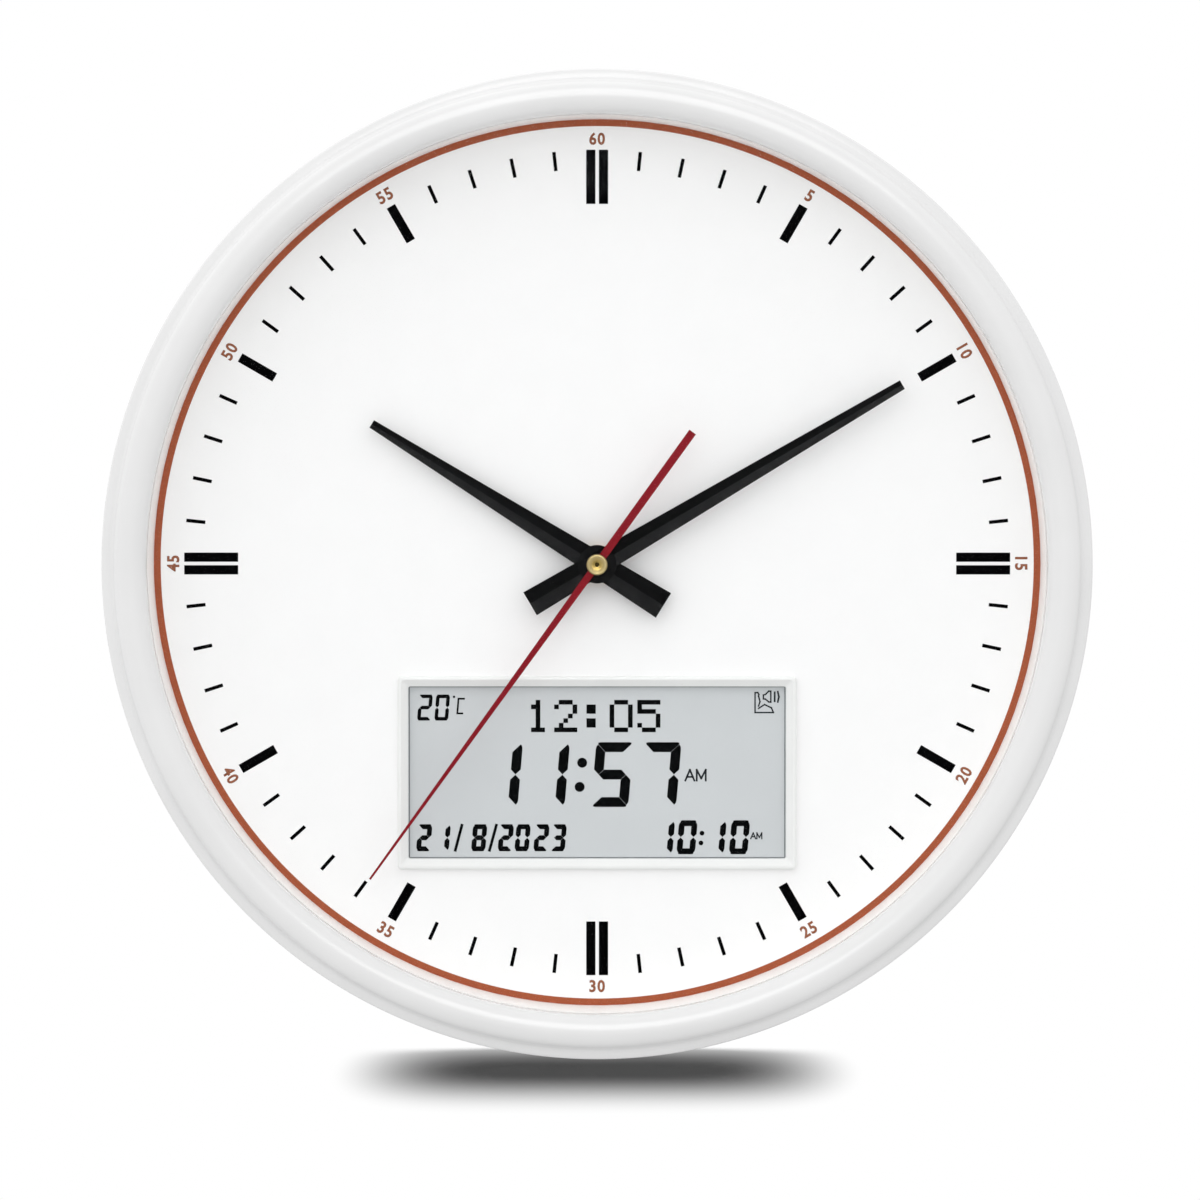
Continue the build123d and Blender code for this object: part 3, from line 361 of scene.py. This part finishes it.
def turnedBrass(look):
    # fine turning marks round the hand axis; the colour bands by distance from the axis are painted shade,
    # darker in the dish and at the rim, with a painted highlight ring between them
    material, tree, shader = newMaterial("turnedBrass")
    shader.inputs["Metallic"].default_value = 1.0
    place = objectPlace(tree, shift=(-dialX, 0, -dialZ))
    rings = addNode(tree, "ShaderNodeTexWave", wave_type="RINGS", rings_direction="Y",
                    Scale=look["rings"], Distortion=look["wander"], Detail=look["detail"])
    tree.links.new(place, rings.inputs["Vector"])
    flat = addNode(tree, "ShaderNodeVectorMath", operation="MULTIPLY")
    flat.inputs[1].default_value = (1 / (look["radius"] * mm), 0, 1 / (look["radius"] * mm))
    tree.links.new(place, flat.inputs[0])
    reach = addNode(tree, "ShaderNodeVectorMath", operation="LENGTH")
    tree.links.new(flat.outputs["Vector"], reach.inputs[0])
    ramp = addNode(tree, "ShaderNodeValToRGB")
    while len(ramp.color_ramp.elements) < len(look["bands"]):
        ramp.color_ramp.elements.new(0.5)
    for element, (position, colour) in zip(ramp.color_ramp.elements, look["bands"]):
        element.position = position
        element.color = colour
    tree.links.new(reach.outputs["Value"], ramp.inputs["Fac"])
    tree.links.new(ramp.outputs["Color"], shader.inputs["Base Color"])
    tree.links.new(valueBetween(tree, rings.outputs["Fac"], *look["roughness"]), shader.inputs["Roughness"])
    addRelief(tree, shader, rings.outputs["Fac"], look["relief"], look["reliefDepth"])
    return material


dress("boss_brass", turnedBrass(brassLook))
arborTipShade = surfaceFinish("arborTipPaintedShade", arborTipShadeLook)  # the point of the arbor in the hole of the boss, coloured dark olive as painted shade in the hole
for slot in nodes["second_arbor"].material_slots:
    slot.material = arborTipShade
print("hand finishes done")


# finishes of what is inside and behind
insideLooks = {
    "screw_steel": {"colour": tone(176, 178, 182), "shade": tone(150, 152, 156), "grain": 900, "metal": 1.0,
                    "roughness": (0.25, 0.4), "relief": 0.15, "reliefGrain": 4000},
    "plate_steel": {"colour": tone(186, 188, 190), "shade": tone(160, 162, 165), "grain": 160, "metal": 1.0,
                    "stretch": (1, 1, 14), "roughness": (0.3, 0.45), "relief": 0.2, "reliefGrain": 700},
    "cell_can": {"colour": tone(66, 70, 78), "shade": tone(54, 57, 64), "grain": 200, "metal": 0.5,
                 "roughness": (0.28, 0.36), "relief": 0.05, "reliefGrain": 900},
    "contact_nickel": {"colour": tone(200, 198, 190), "shade": tone(176, 174, 166), "grain": 700,
                       "metal": 1.0, "roughness": (0.2, 0.32), "relief": 0.1, "reliefGrain": 2000},
    "reflector_foil": {"colour": tone(214, 216, 218), "shade": tone(200, 202, 204), "grain": 300,
                       "metal": 0.9, "roughness": (0.35, 0.5), "relief": 0.3, "reliefGrain": 1500},
    "strip_rubber": {"colour": tone(44, 44, 46), "shade": tone(150, 90, 110), "grain": 900,
                     "stretch": (6, 1, 1), "roughness": (0.6, 0.75), "relief": 0.2, "reliefGrain": 1500},
    "carrier_plastic": {"colour": tone(74, 76, 78), "shade": tone(64, 66, 68), "grain": 150,
                        "roughness": (0.45, 0.55), "relief": 0.15, "reliefGrain": 1400},
    "chip_resin": {"colour": tone(24, 24, 26), "shade": tone(16, 16, 18), "grain": 350,
                   "roughness": (0.15, 0.3), "relief": 0.3, "reliefGrain": 500},
    "can_steel": {"colour": tone(196, 198, 200), "shade": tone(176, 178, 182), "grain": 800, "metal": 1.0,
                  "roughness": (0.2, 0.3), "relief": 0.1, "reliefGrain": 2500},
    "sleeve_dark": {"colour": tone(34, 36, 60), "shade": tone(26, 28, 48), "grain": 500,
                    "roughness": (0.3, 0.4), "relief": 0.1, "reliefGrain": 1500},
    "sensor_bead": {"colour": tone(38, 70, 44), "shade": tone(28, 54, 34), "grain": 900,
                    "roughness": (0.25, 0.35), "relief": 0.2, "reliefGrain": 1500},
    "switch_black": {"colour": tone(36, 36, 38), "shade": tone(28, 28, 30), "grain": 600,
                     "roughness": (0.4, 0.5), "relief": 0.1, "reliefGrain": 2500},
    "basket_black": {"colour": tone(40, 40, 42), "shade": tone(30, 30, 32), "grain": 250,
                     "roughness": (0.4, 0.55), "relief": 0.25, "reliefGrain": 1600},
    "cone_paper": {"colour": tone(70, 68, 66), "shade": tone(48, 46, 45), "grain": 1200,
                   "roughness": (0.8, 0.9), "relief": 0.6, "reliefGrain": 1800},
    "magnet_ferrite": {"colour": tone(62, 62, 64), "shade": tone(46, 46, 48), "grain": 700,
                       "roughness": (0.55, 0.7), "relief": 0.3, "reliefGrain": 2200},
    "movement_black": {"colour": tone(44, 44, 46), "shade": tone(34, 34, 36), "grain": 350,
                       "roughness": (0.42, 0.55), "relief": 0.35, "reliefGrain": 2200},
    "train_plate_brown": {"colour": tone(120, 84, 54), "shade": tone(100, 68, 42), "grain": 250,
                          "roughness": (0.4, 0.5), "relief": 0.1, "reliefGrain": 1500},
    "stator_iron": {"colour": tone(150, 148, 142), "shade": tone(128, 126, 122), "grain": 500, "metal": 1.0,
                    "stretch": (1, 30, 1), "roughness": (0.35, 0.5), "relief": 0.3, "reliefGrain": 900},
    "coil_copper": {"colour": tone(190, 110, 66), "shade": tone(140, 72, 40), "grain": 300, "metal": 0.8,
                    "stretch": (28, 1, 1), "roughness": (0.25, 0.35), "relief": 0.5, "reliefGrain": 420},
    "wheel_plastic": {"colour": tone(232, 230, 220), "shade": tone(222, 218, 206), "grain": 500,
                      "roughness": (0.35, 0.45), "relief": 0.05, "reliefGrain": 2500},
    "knob_white": {"colour": tone(236, 236, 232), "shade": tone(226, 226, 222), "grain": 400,
                   "roughness": (0.35, 0.45), "relief": 0.1, "reliefGrain": 2500},
    "gasket_rubber": {"colour": tone(36, 36, 37), "shade": tone(28, 28, 29), "grain": 500,
                      "roughness": (0.7, 0.85), "relief": 0.3, "reliefGrain": 1800},
    "nut_brass": {"colour": tone(204, 170, 98), "shade": tone(184, 148, 78), "grain": 900, "metal": 1.0,
                  "roughness": (0.25, 0.38), "relief": 0.15, "reliefGrain": 1500},
}
for slotName, look in insideLooks.items():
    dress(slotName, surfaceFinish(slotName.replace("_", "") + "Finish", look))

boardLook = {"mask": tone(20, 92, 54), "track": tone(34, 120, 72), "pitch": 260, "trackEdge": (0.08, 0.12),
             "grain": 800, "roughness": (0.3, 0.4), "relief": 0.1, "reliefDepth": 0.02}


def circuitBoard(look):
    # solder mask with the tracks showing through as paler bands
    material, tree, shader = newMaterial("circuitBoardMask")
    place = objectPlace(tree)
    cells = addNode(tree, "ShaderNodeTexVoronoi", feature="DISTANCE_TO_EDGE", Scale=look["pitch"])
    tree.links.new(place, cells.inputs["Vector"])
    colour = colourBetween(tree, cells.outputs["Distance"], look["track"], look["mask"], *look["trackEdge"])
    tree.links.new(colour, shader.inputs["Base Color"])
    gloss = valueBetween(tree, speckle(tree, place, look["grain"]), *look["roughness"])
    tree.links.new(gloss, shader.inputs["Roughness"])
    addRelief(tree, shader, cells.outputs["Distance"], look["relief"], look["reliefDepth"])
    return material


dress("board_green", circuitBoard(boardLook))
print("inner finishes done")


# display film and the inks
displayLook = {"colour": tone(205, 209, 211), "shade": tone(202, 206, 208), "grain": 30,
               "roughness": (0.38, 0.45), "relief": 0.03, "reliefGrain": 6000, "reliefDepth": 0.01,
               "specular": 0.2}
dress("display_grey", surfaceFinish("displayFilm", displayLook))

segmentLook = {"colour": tone(4, 6, 7), "shade": tone(3, 4, 5), "grain": 700,
               "roughness": (0.4, 0.5), "relief": 0.05, "reliefGrain": 4000, "specular": 0.02}
segmentInk = surfaceFinish("segmentInk", segmentLook)

thinInkLook = dict(segmentLook, colour=tone(52, 56, 60), shade=tone(46, 50, 54))
thinInk = surfaceFinish("segmentInkThin", thinInkLook)

inkLook = {"colour": tone(2, 2, 3), "shade": tone(1, 1, 2), "grain": 900,
           "roughness": (0.45, 0.55), "relief": 0.08, "reliefGrain": 4000, "specular": 0.01}
dialInk = surfaceFinish("dialInkBlack", inkLook)

orangeLook = {"colour": tone(168, 88, 58), "shade": tone(160, 82, 53), "grain": 900,
              "roughness": (0.4, 0.5), "relief": 0.08, "reliefGrain": 4000, "specular": 0.12}
orangeInk = surfaceFinish("dialInkOrange", orangeLook)

brownLook = dict(orangeLook, colour=tone(156, 98, 72), shade=tone(148, 92, 68))
numeralInk = surfaceFinish("dialInkBrown", brownLook)


# printing on the dial, in millimetres from the hand axis
printing = {
    "depth": 0.05,
    "doubleBars": {"inner": 120.5, "outer": 138.6, "width": 3.08, "offset": 2.125},
    "singleBars": {"inner": 124.8, "outer": 138.2, "width": 3.18},
    "ticks": {"inner": 132.2, "outer": 138.6, "width": 1.17},
    "ring": {"inner": 146.5, "outer": 148.8, "steps": 256},
}
printFront = dialFace - printing["depth"] * mm


def addBar(mesh, bearing, bar, offset=0.0):
    half = bar["width"] / 2
    corners = [onDial(bearing, radius * mm, (offset + side) * mm)
               for radius, side in ((bar["inner"], -half), (bar["outer"], -half),
                                    (bar["outer"], half), (bar["inner"], half))]
    addPrism(mesh, corners, printFront, dialFace)


bars = bmesh.new()
ticks = bmesh.new()
for minute in range(60):
    bearing = minute * 6
    if minute % 15 == 0:
        for side in (-1, 1):
            addBar(bars, bearing, printing["doubleBars"], side * printing["doubleBars"]["offset"])
    elif minute % 5 == 0:
        addBar(bars, bearing, printing["singleBars"])
    else:
        addBar(ticks, bearing, printing["ticks"])
addPiece(bars, "hourBars", dialInk)
addPiece(ticks, "minuteTicks", dialInk)

ring = bmesh.new()
inner, outer = printing["ring"]["inner"] * mm, printing["ring"]["outer"] * mm
addTurned(ring, [(inner, printFront), (outer, printFront), (outer, dialFace), (inner, dialFace)],
          printing["ring"]["steps"])
addPiece(ring, "orangeRing", orangeInk)

# the small numerals turn with the dial, each kept the right way up
numeralLook = {"radius": 142.3, "height": 4.2, "condense": 0.92, "weight": 0.03, "spacing": 1.14,
               "fineness": 3}
numeralTurns = {5: 30, 10: 60, 15: 90, 20: -60, 25: -30, 30: 0,
                35: 30, 40: 60, 45: -90, 50: -60, 55: -30, 60: 0}


def letteringMesh(words, look):
    # flat mesh of the built-in lettering
    curve = bpy.data.curves.new("lettering", "FONT")
    curve.body = words
    curve.offset = look["weight"]
    curve.space_character = look["spacing"]
    curve.resolution_u = look["fineness"]
    holder = bpy.data.objects.new("lettering", curve)
    scene.collection.objects.link(holder)
    bpy.context.view_layer.update()
    flat = bpy.data.meshes.new_from_object(holder)
    bpy.data.objects.remove(holder)
    bpy.data.curves.remove(curve)
    return flat


def addNumeral(target, words, centreX, centreZ, turn, look):
    flat = letteringMesh(words, look)
    xs = [v.co.x for v in flat.vertices]
    ys = [v.co.y for v in flat.vertices]
    scale = look["height"] * mm / (max(ys) - min(ys))
    midX, midY = (min(xs) + max(xs)) / 2, (min(ys) + max(ys)) / 2
    cosTurn, sinTurn = cos(radians(turn)), sin(radians(turn))
    part = bmesh.new()
    part.from_mesh(flat)
    bpy.data.meshes.remove(flat)
    for vert in part.verts:
        x = (vert.co.x - midX) * scale * look["condense"]
        z = (vert.co.y - midY) * scale
        vert.co = (centreX + x * cosTurn + z * sinTurn, printFront, centreZ - x * sinTurn + z * cosTurn)
    grown = bmesh.ops.extrude_face_region(part, geom=part.faces[:])
    back = [item for item in grown["geom"] if isinstance(item, bmesh.types.BMVert)]
    bmesh.ops.translate(part, vec=(0, dialFace - printFront, 0), verts=back)
    data = bpy.data.meshes.new("numeralPart")
    part.to_mesh(data)
    part.free()
    target.from_mesh(data)
    bpy.data.meshes.remove(data)


numerals = bmesh.new()
for count, turn in numeralTurns.items():
    x, z = onDial(count * 6, numeralLook["radius"] * mm)
    addNumeral(numerals, str(count), x, z, turn, numeralLook)
addPiece(numerals, "minuteNumerals", numeralInk)
print("dial printing done")


# what the display shows, in millimetres from the middle of its frame
segmentDepth = 0.04
segmentFront = displayFace - segmentDepth * mm
litSegments = {"0": "abcdef", "1": "bc", "2": "abged", "3": "abgcd", "5": "afgcd", "7": "abc",
               "8": "abcdefg"}


def onDisplay(points):
    return [(displayX + x * mm, displayZ + z * mm) for x, z in points]


def segmentShapes(width, height, stroke, corner, joint, split):
    # the seven segments of one digit, upright, from its lower left corner
    mid, half = height / 2, stroke / 2
    near, far, low = 0.293 * corner, 0.617 * corner, 0.076 * corner
    top = [(near, height - low), (far, height), (width - far, height), (width - near, height - low),
           (width - near - joint, height - near), (width - stroke - joint, height - stroke),
           (stroke + joint, height - stroke), (near + joint, height - near)]
    upperLeft = [(near, height - near - joint), (low, height - far), (0, height - corner),
                 (0, mid + half + split / 2), (half, mid + split / 2), (stroke, mid + half + split / 2),
                 (stroke, height - stroke - joint)]
    bar = [(half + joint, mid), (stroke + joint, mid + half), (width - stroke - joint, mid + half),
           (width - half - joint, mid), (width - stroke - joint, mid - half), (stroke + joint, mid - half)]

    def mirrored(points):
        return [(width - x, z) for x, z in points]

    def flipped(points):
        return [(x, height - z) for x, z in points]

    return {"a": top, "b": mirrored(upperLeft), "c": flipped(mirrored(upperLeft)), "d": flipped(top),
            "e": flipped(upperLeft), "f": upperLeft, "g": bar}


def addDigits(mesh, group):
    shapes = segmentShapes(group["width"], group["height"], group["stroke"], group["corner"],
                           group["joint"], group["split"])
    for digit, left in group["digits"]:
        for name in litSegments[digit]:
            outline = [(left + x + group["slant"] * z, group["foot"] + z) for x, z in shapes[name]]
            addPrism(mesh, onDisplay(outline), segmentFront, displayFace)


def addDot(mesh, x, z, radius, steps=20):
    outline = [(x + radius * cos(2 * pi * k / steps), z + radius * sin(2 * pi * k / steps))
               for k in range(steps)]
    addPrism(mesh, onDisplay(outline), segmentFront, displayFace)


def addStroke(mesh, points, width):
    # a line of even width through the points, each run a flat bar that overlaps the next
    half = width / 2
    for (x0, z0), (x1, z1) in zip(points, points[1:]):
        length = hypot(x1 - x0, z1 - z0)
        alongX, alongZ = (x1 - x0) / length * half, (z1 - z0) / length * half
        outline = [(x0 - alongX - alongZ, z0 - alongZ + alongX),
                   (x0 - alongX + alongZ, z0 - alongZ - alongX),
                   (x1 + alongX + alongZ, z1 + alongZ - alongX),
                   (x1 + alongX - alongZ, z1 + alongZ + alongX)]
        addPrism(mesh, onDisplay(outline), segmentFront, displayFace)


timeDigits = {"digits": [("1", -39.3), ("1", -23.5), ("5", -2.1), ("7", 14.0)],
              "foot": -11.7, "height": 21.8, "width": 12.55, "stroke": 3.3, "corner": 2.3,
              "joint": 0.05, "split": 0.14, "slant": 0.085,
              "colon": [(-5.02, 3.2), (-5.86, -4.95)], "colonRadius": 1.68}
mesh = bmesh.new()
addDigits(mesh, timeDigits)
for x, z in timeDigits["colon"]:
    addDot(mesh, x, z, timeDigits["colonRadius"])
addPiece(mesh, "timeSegments", segmentInk)

dateDigits = {"digits": [("2", -60.95), ("1", -54.75), ("8", -42.45), ("2", -33.5), ("0", -27.85),
                         ("2", -21.5), ("3", -15.7)],
              "foot": -26.65, "height": 9.1, "width": 4.8, "stroke": 1.66, "corner": 1.5, "joint": 0.0,
              "split": 0.14, "slant": 0.085, "slashes": [(-48.0, -45.2), (-36.5, -33.6)],
              "slashFoot": -26.3, "slashHead": -17.9, "slashInset": 0.3, "slashWidth": 0.95}
mesh = bmesh.new()
addDigits(mesh, dateDigits)
inset = dateDigits["slashInset"]
for low, high in dateDigits["slashes"]:
    ends = [(low + inset, dateDigits["slashFoot"]), (high - inset, dateDigits["slashHead"])]
    addStroke(mesh, ends, dateDigits["slashWidth"])
addPiece(mesh, "dateSegments", segmentInk)

alarmDigits = {"digits": [("1", 19.05), ("0", 26.65), ("1", 36.4), ("0", 44.3)], "foot": -27.65,
               "height": 11.45, "width": 6.25, "stroke": 1.98, "corner": 1.9, "joint": 0.0, "split": 0.17,
               "slant": 0.085, "colon": [(35.3, -20.55), (34.95, -23.85)], "colonRadius": 0.8}
mesh = bmesh.new()
addDigits(mesh, alarmDigits)
for x, z in alarmDigits["colon"]:
    addDot(mesh, x, z, alarmDigits["colonRadius"])
addPiece(mesh, "alarmSegments", segmentInk)

warmthDigits = {"digits": [("2", -60.55), ("0", -54.75)], "foot": 17.4, "height": 8.75, "width": 4.65,
                "stroke": 1.2, "corner": 1.1, "joint": 0.0, "split": 0.12, "slant": 0.08,
                "letter": [(-44.75, 24.75), (-46.6, 24.75), (-47.0, 19.8), (-45.3, 19.8)],
                "letterWidth": 0.6, "degree": (-48.1, 25.4), "degreeRadius": 0.4}
mesh = bmesh.new()
addDigits(mesh, warmthDigits)
addStroke(mesh, warmthDigits["letter"], warmthDigits["letterWidth"])
addDot(mesh, *warmthDigits["degree"], warmthDigits["degreeRadius"])
addPiece(mesh, "warmthSegments", segmentInk)

# five characters of square dots, which show the time of the next call
matrixDots = {"left": -23.75, "top": 24.35, "pitch": 1.55, "dot": 1.555, "step": 9.32,
              "rows": ["00100 01110 00000 01110 11111",
                       "01100 10001 01100 10001 10000",
                       "00100 00001 01100 10001 11110",
                       "00100 00010 00000 10001 00001",
                       "00100 00100 01100 10001 00001",
                       "00100 01000 01100 10001 10001",
                       "01110 11111 00000 01110 01110"]}
mesh = bmesh.new()
for row, cells in enumerate(matrixDots["rows"]):
    for character, bits in enumerate(cells.split()):
        for column, bit in enumerate(bits):
            if bit == "1":
                left = matrixDots["left"] + character * matrixDots["step"] + column * matrixDots["pitch"]
                top = matrixDots["top"] - row * matrixDots["pitch"]
                right, foot = left + matrixDots["dot"], top - matrixDots["dot"]
                corners = [(left, foot), (right, foot), (right, top), (left, top)]
                addPrism(mesh, onDisplay(corners), segmentFront, displayFace)
addPiece(mesh, "matrixDots", segmentInk)

# small capitals beside the two times
capitalStrokes = {"A": [[(0, 0), (0.42, 1), (0.84, 0)], [(0.15, 0.34), (0.69, 0.34)]],
                  "M": [[(0, 0), (0, 1), (0.42, 0.2), (0.84, 1), (0.84, 0)]]}
capitalPitch = 1.06
halfDayMarks = [{"left": 29.7, "foot": -2.8, "height": 3.6, "stroke": 0.62},
                {"left": 51.7, "foot": -22.4, "height": 1.95, "stroke": 0.42}]
mesh = bmesh.new()
for mark in halfDayMarks:
    for place, letter in enumerate("AM"):
        for run in capitalStrokes[letter]:
            points = [(mark["left"] + (x + capitalPitch * place) * mark["height"],
                       mark["foot"] + z * mark["height"]) for x, z in run]
            addStroke(mesh, points, mark["stroke"])
addPiece(mesh, "halfDayMarks", thinInk)

# call mark in the upper corner: a tower with a roof beside it, a horn and its sound
callMark = {"width": 0.5, "waveWidth": 0.62,
            "building": [[(53.1, 26.8), (53.1, 20.1), (59.3, 20.1), (58.6, 21.7), (56.3, 22.8),
                          (54.3, 21.5)],
                         [(53.3, 26.8), (54.0, 26.8), (54.4, 26.2), (54.3, 25.6), (54.75, 23.8),
                          (54.3, 22.3)]],
            "horn": [[(55.9, 26.0), (56.6, 26.2), (57.7, 27.3), (58.4, 27.3), (58.4, 23.6), (57.7, 23.7),
                      (56.6, 24.6), (55.9, 24.7), (55.9, 26.0)]],
            "waves": [[(59.7, 26.9), (59.7, 23.9)], [(60.75, 27.1), (61.1, 25.4), (60.75, 23.7)]]}
mesh = bmesh.new()
for run in callMark["building"] + callMark["horn"]:
    addStroke(mesh, run, callMark["width"])
for run in callMark["waves"]:
    addStroke(mesh, run, callMark["waveWidth"])
addPiece(mesh, "callMark", thinInk)

# painted shadow: a grey line on the film along the window, standing in for the shade in the gap between the
# bezel and the film
paintedGapShadow = {"wide": 126.6, "high": 57.9, "width": 0.34}
gapShadowLook = dict(segmentLook, colour=tone(128, 132, 134), shade=tone(120, 124, 126))
gapShadowFinish = surfaceFinish("paintedGapShadowFinish", gapShadowLook)
mesh = bmesh.new()
halfWide, halfHigh = paintedGapShadow["wide"] / 2, paintedGapShadow["high"] / 2
innerWide, innerHigh = halfWide - paintedGapShadow["width"], halfHigh - paintedGapShadow["width"]
for side in (-1, 1):
    acrossEdge = [(-halfWide, side * innerHigh), (halfWide, side * innerHigh),
                  (halfWide, side * halfHigh), (-halfWide, side * halfHigh)]
    uprightEdge = [(side * innerWide, -innerHigh), (side * halfWide, -innerHigh),
                   (side * halfWide, innerHigh), (side * innerWide, innerHigh)]
    for corners in (acrossEdge, uprightEdge):
        addPrism(mesh, onDisplay(corners), segmentFront, displayFace)
addPiece(mesh, "paintedGapShadow", gapShadowFinish)
print("display done")


# a soft dome of light, brighter ahead, above and to the left, and a broad lamp that only glints in gloss
lightPlan = {"dome": 0.97, "domeSlant": 0.43, "domeTowards": (-0.5, -0.6, 0.62),
             "keyPower": 10.0, "keySize": 0.84, "keyDistance": 1.7, "keyBearing": 0.0, "keyTilt": 19.0}

world = bpy.data.worlds.new("studioWorld")
scene.world = world
world.use_nodes = True
tree = world.node_tree
direction = addNode(tree, "ShaderNodeTexCoord")
slope = addNode(tree, "ShaderNodeVectorMath", operation="DOT_PRODUCT")
slope.inputs[1].default_value = lightPlan["domeTowards"]
tree.links.new(direction.outputs["Generated"], slope.inputs[0])
level = addNode(tree, "ShaderNodeMath", operation="MULTIPLY_ADD")
level.inputs[1].default_value = lightPlan["domeSlant"]
level.inputs[2].default_value = lightPlan["dome"]
tree.links.new(slope.outputs["Value"], level.inputs[0])
strength = addNode(tree, "ShaderNodeMapRange")
tree.links.new(raysThatSee(tree), strength.inputs["Value"])
tree.links.new(level.outputs[0], strength.inputs["To Min"])
tree.nodes["Background"].inputs["Color"].default_value = (1, 1, 1, 1)
tree.links.new(strength.outputs["Result"], tree.nodes["Background"].inputs["Strength"])


def softLamp(name, power, size, position, target):
    lamp = bpy.data.lights.new(name, "AREA")
    lamp.shape = "DISK"
    lamp.energy = power
    lamp.size = size
    holder = bpy.data.objects.new(name, lamp)
    holder.location = position
    holder.rotation_euler = (Vector(target) - Vector(position)).to_track_quat("-Z", "Y").to_euler()
    scene.collection.objects.link(holder)
    return holder


dialCentre = Vector((dialX, dialFace, dialZ))
bearing, tilt = radians(lightPlan["keyBearing"]), radians(lightPlan["keyTilt"])
towardsKey = Vector((sin(tilt) * sin(bearing), -cos(tilt), sin(tilt) * cos(bearing)))
keyLamp = softLamp("keyLamp", lightPlan["keyPower"], lightPlan["keySize"],
                   dialCentre + lightPlan["keyDistance"] * towardsKey, dialCentre)
keyLamp.visible_diffuse = False
print("light done")


# pale floor: the clock's real shadow lies in front of where it stands, and further out a painted white
# fade, shaped as an ellipse ahead of the foot, covers it
floorPlan = {"size": 6.0, "colour": (0.072, 0.072, 0.072, 1.0), "glow": 0.72, "shadowWide": 0.088,
             "shadowDeep": 0.125, "shadowCore": 0.1, "shadowAhead": 0.028, "sideFall": 2.6,
             "lampPower": 310.0, "lampSize": 1.1, "lampDistance": 1.3, "lampTilt": 35.0}
mesh = bmesh.new()
half = floorPlan["size"] / 2
mesh.faces.new([mesh.verts.new((x, y, floorLevel)) for x, y in
                ((-half, -half), (half, -half), (half, half), (-half, half))])
data = bpy.data.meshes.new("studioFloor")
mesh.to_mesh(data)
mesh.free()
floor = bpy.data.objects.new("studioFloor", data)
scene.collection.objects.link(floor)

material, tree, shader = newMaterial("floorPale")
tree.nodes.remove(shader)
matte = addNode(tree, "ShaderNodeBsdfDiffuse", Color=floorPlan["colour"])
plain = addNode(tree, "ShaderNodeEmission", Strength=1.0)
glow = addNode(tree, "ShaderNodeEmission", Strength=floorPlan["glow"])
wide, deep = floorPlan["shadowWide"], floorPlan["shadowDeep"]
ahead = (floorPlan["shadowAhead"] - frontFace) / deep
place = objectPlace(tree, (1 / wide, 1 / deep, 0), (-dialX / wide, ahead, 0))
apart = addNode(tree, "ShaderNodeVectorMath", operation="ABSOLUTE")
tree.links.new(place, apart.inputs[0])
shaped = addNode(tree, "ShaderNodeVectorMath", operation="POWER")
shaped.inputs[1].default_value = (floorPlan["sideFall"], 1, 1)
tree.links.new(apart.outputs["Vector"], shaped.inputs[0])
reach = addNode(tree, "ShaderNodeVectorMath", operation="LENGTH")
tree.links.new(shaped.outputs["Vector"], reach.inputs[0])
# painted light: outside the ellipse the fade mixes the shadowed matte into plain white
fade = addNode(tree, "ShaderNodeMapRange", interpolation_type="SMOOTHSTEP")
fade.inputs["From Min"].default_value = floorPlan["shadowCore"]
tree.links.new(reach.outputs["Value"], fade.inputs["Value"])
shaded = addNode(tree, "ShaderNodeMixShader")
tree.links.new(fade.outputs["Result"], shaded.inputs["Fac"])
tree.links.new(matte.outputs[0], shaded.inputs[1])
tree.links.new(plain.outputs[0], shaded.inputs[2])
whole = addNode(tree, "ShaderNodeMixShader")
tree.links.new(raysThatSee(tree), whole.inputs["Fac"])
tree.links.new(glow.outputs[0], whole.inputs[1])
tree.links.new(shaded.outputs[0], whole.inputs[2])
tree.links.new(whole.outputs[0], tree.nodes["Material Output"].inputs["Surface"])
floor.data.materials.append(material)

# the lamp that draws the shadow lights the floor alone
footPlace = Vector((dialX, frontFace, floorLevel))
tilt = radians(floorPlan["lampTilt"])
floorLamp = softLamp("floorLamp", floorPlan["lampPower"], floorPlan["lampSize"],
                     footPlace + floorPlan["lampDistance"] * Vector((0, sin(tilt), cos(tilt))), footPlace)
lit = bpy.data.collections.new("floorOnly")
lit.objects.link(floor)
floorLamp.light_linking.receiver_collection = lit
print("floor done")


cameraPlan = {"distance": 2.2, "frameWidth": 0.3987, "azimuth": 0.1, "elevation": 2.4,
              "aimRight": 1.0, "aimDown": 11.3, "sensor": 36.0, "farthest": 50.0}
camera = bpy.data.cameras.new("studioCamera")
camera.sensor_width = cameraPlan["sensor"]
camera.lens = camera.sensor_width * cameraPlan["distance"] / cameraPlan["frameWidth"]
camera.clip_end = cameraPlan["farthest"]
holder = bpy.data.objects.new("studioCamera", camera)
scene.collection.objects.link(holder)
scene.camera = holder
azimuth, elevation = radians(cameraPlan["azimuth"]), radians(cameraPlan["elevation"])
back = Vector((sin(azimuth) * cos(elevation), -cos(azimuth) * cos(elevation), sin(elevation)))
aim = Vector((dialX + cameraPlan["aimRight"] * mm, frontFace, dialZ - cameraPlan["aimDown"] * mm))
holder.location = aim + back * cameraPlan["distance"]
holder.rotation_mode = "QUATERNION"
holder.rotation_quaternion = (-back).to_track_quat("-Z", "Y")
scene.view_settings.view_transform = "Standard"
print("camera done")
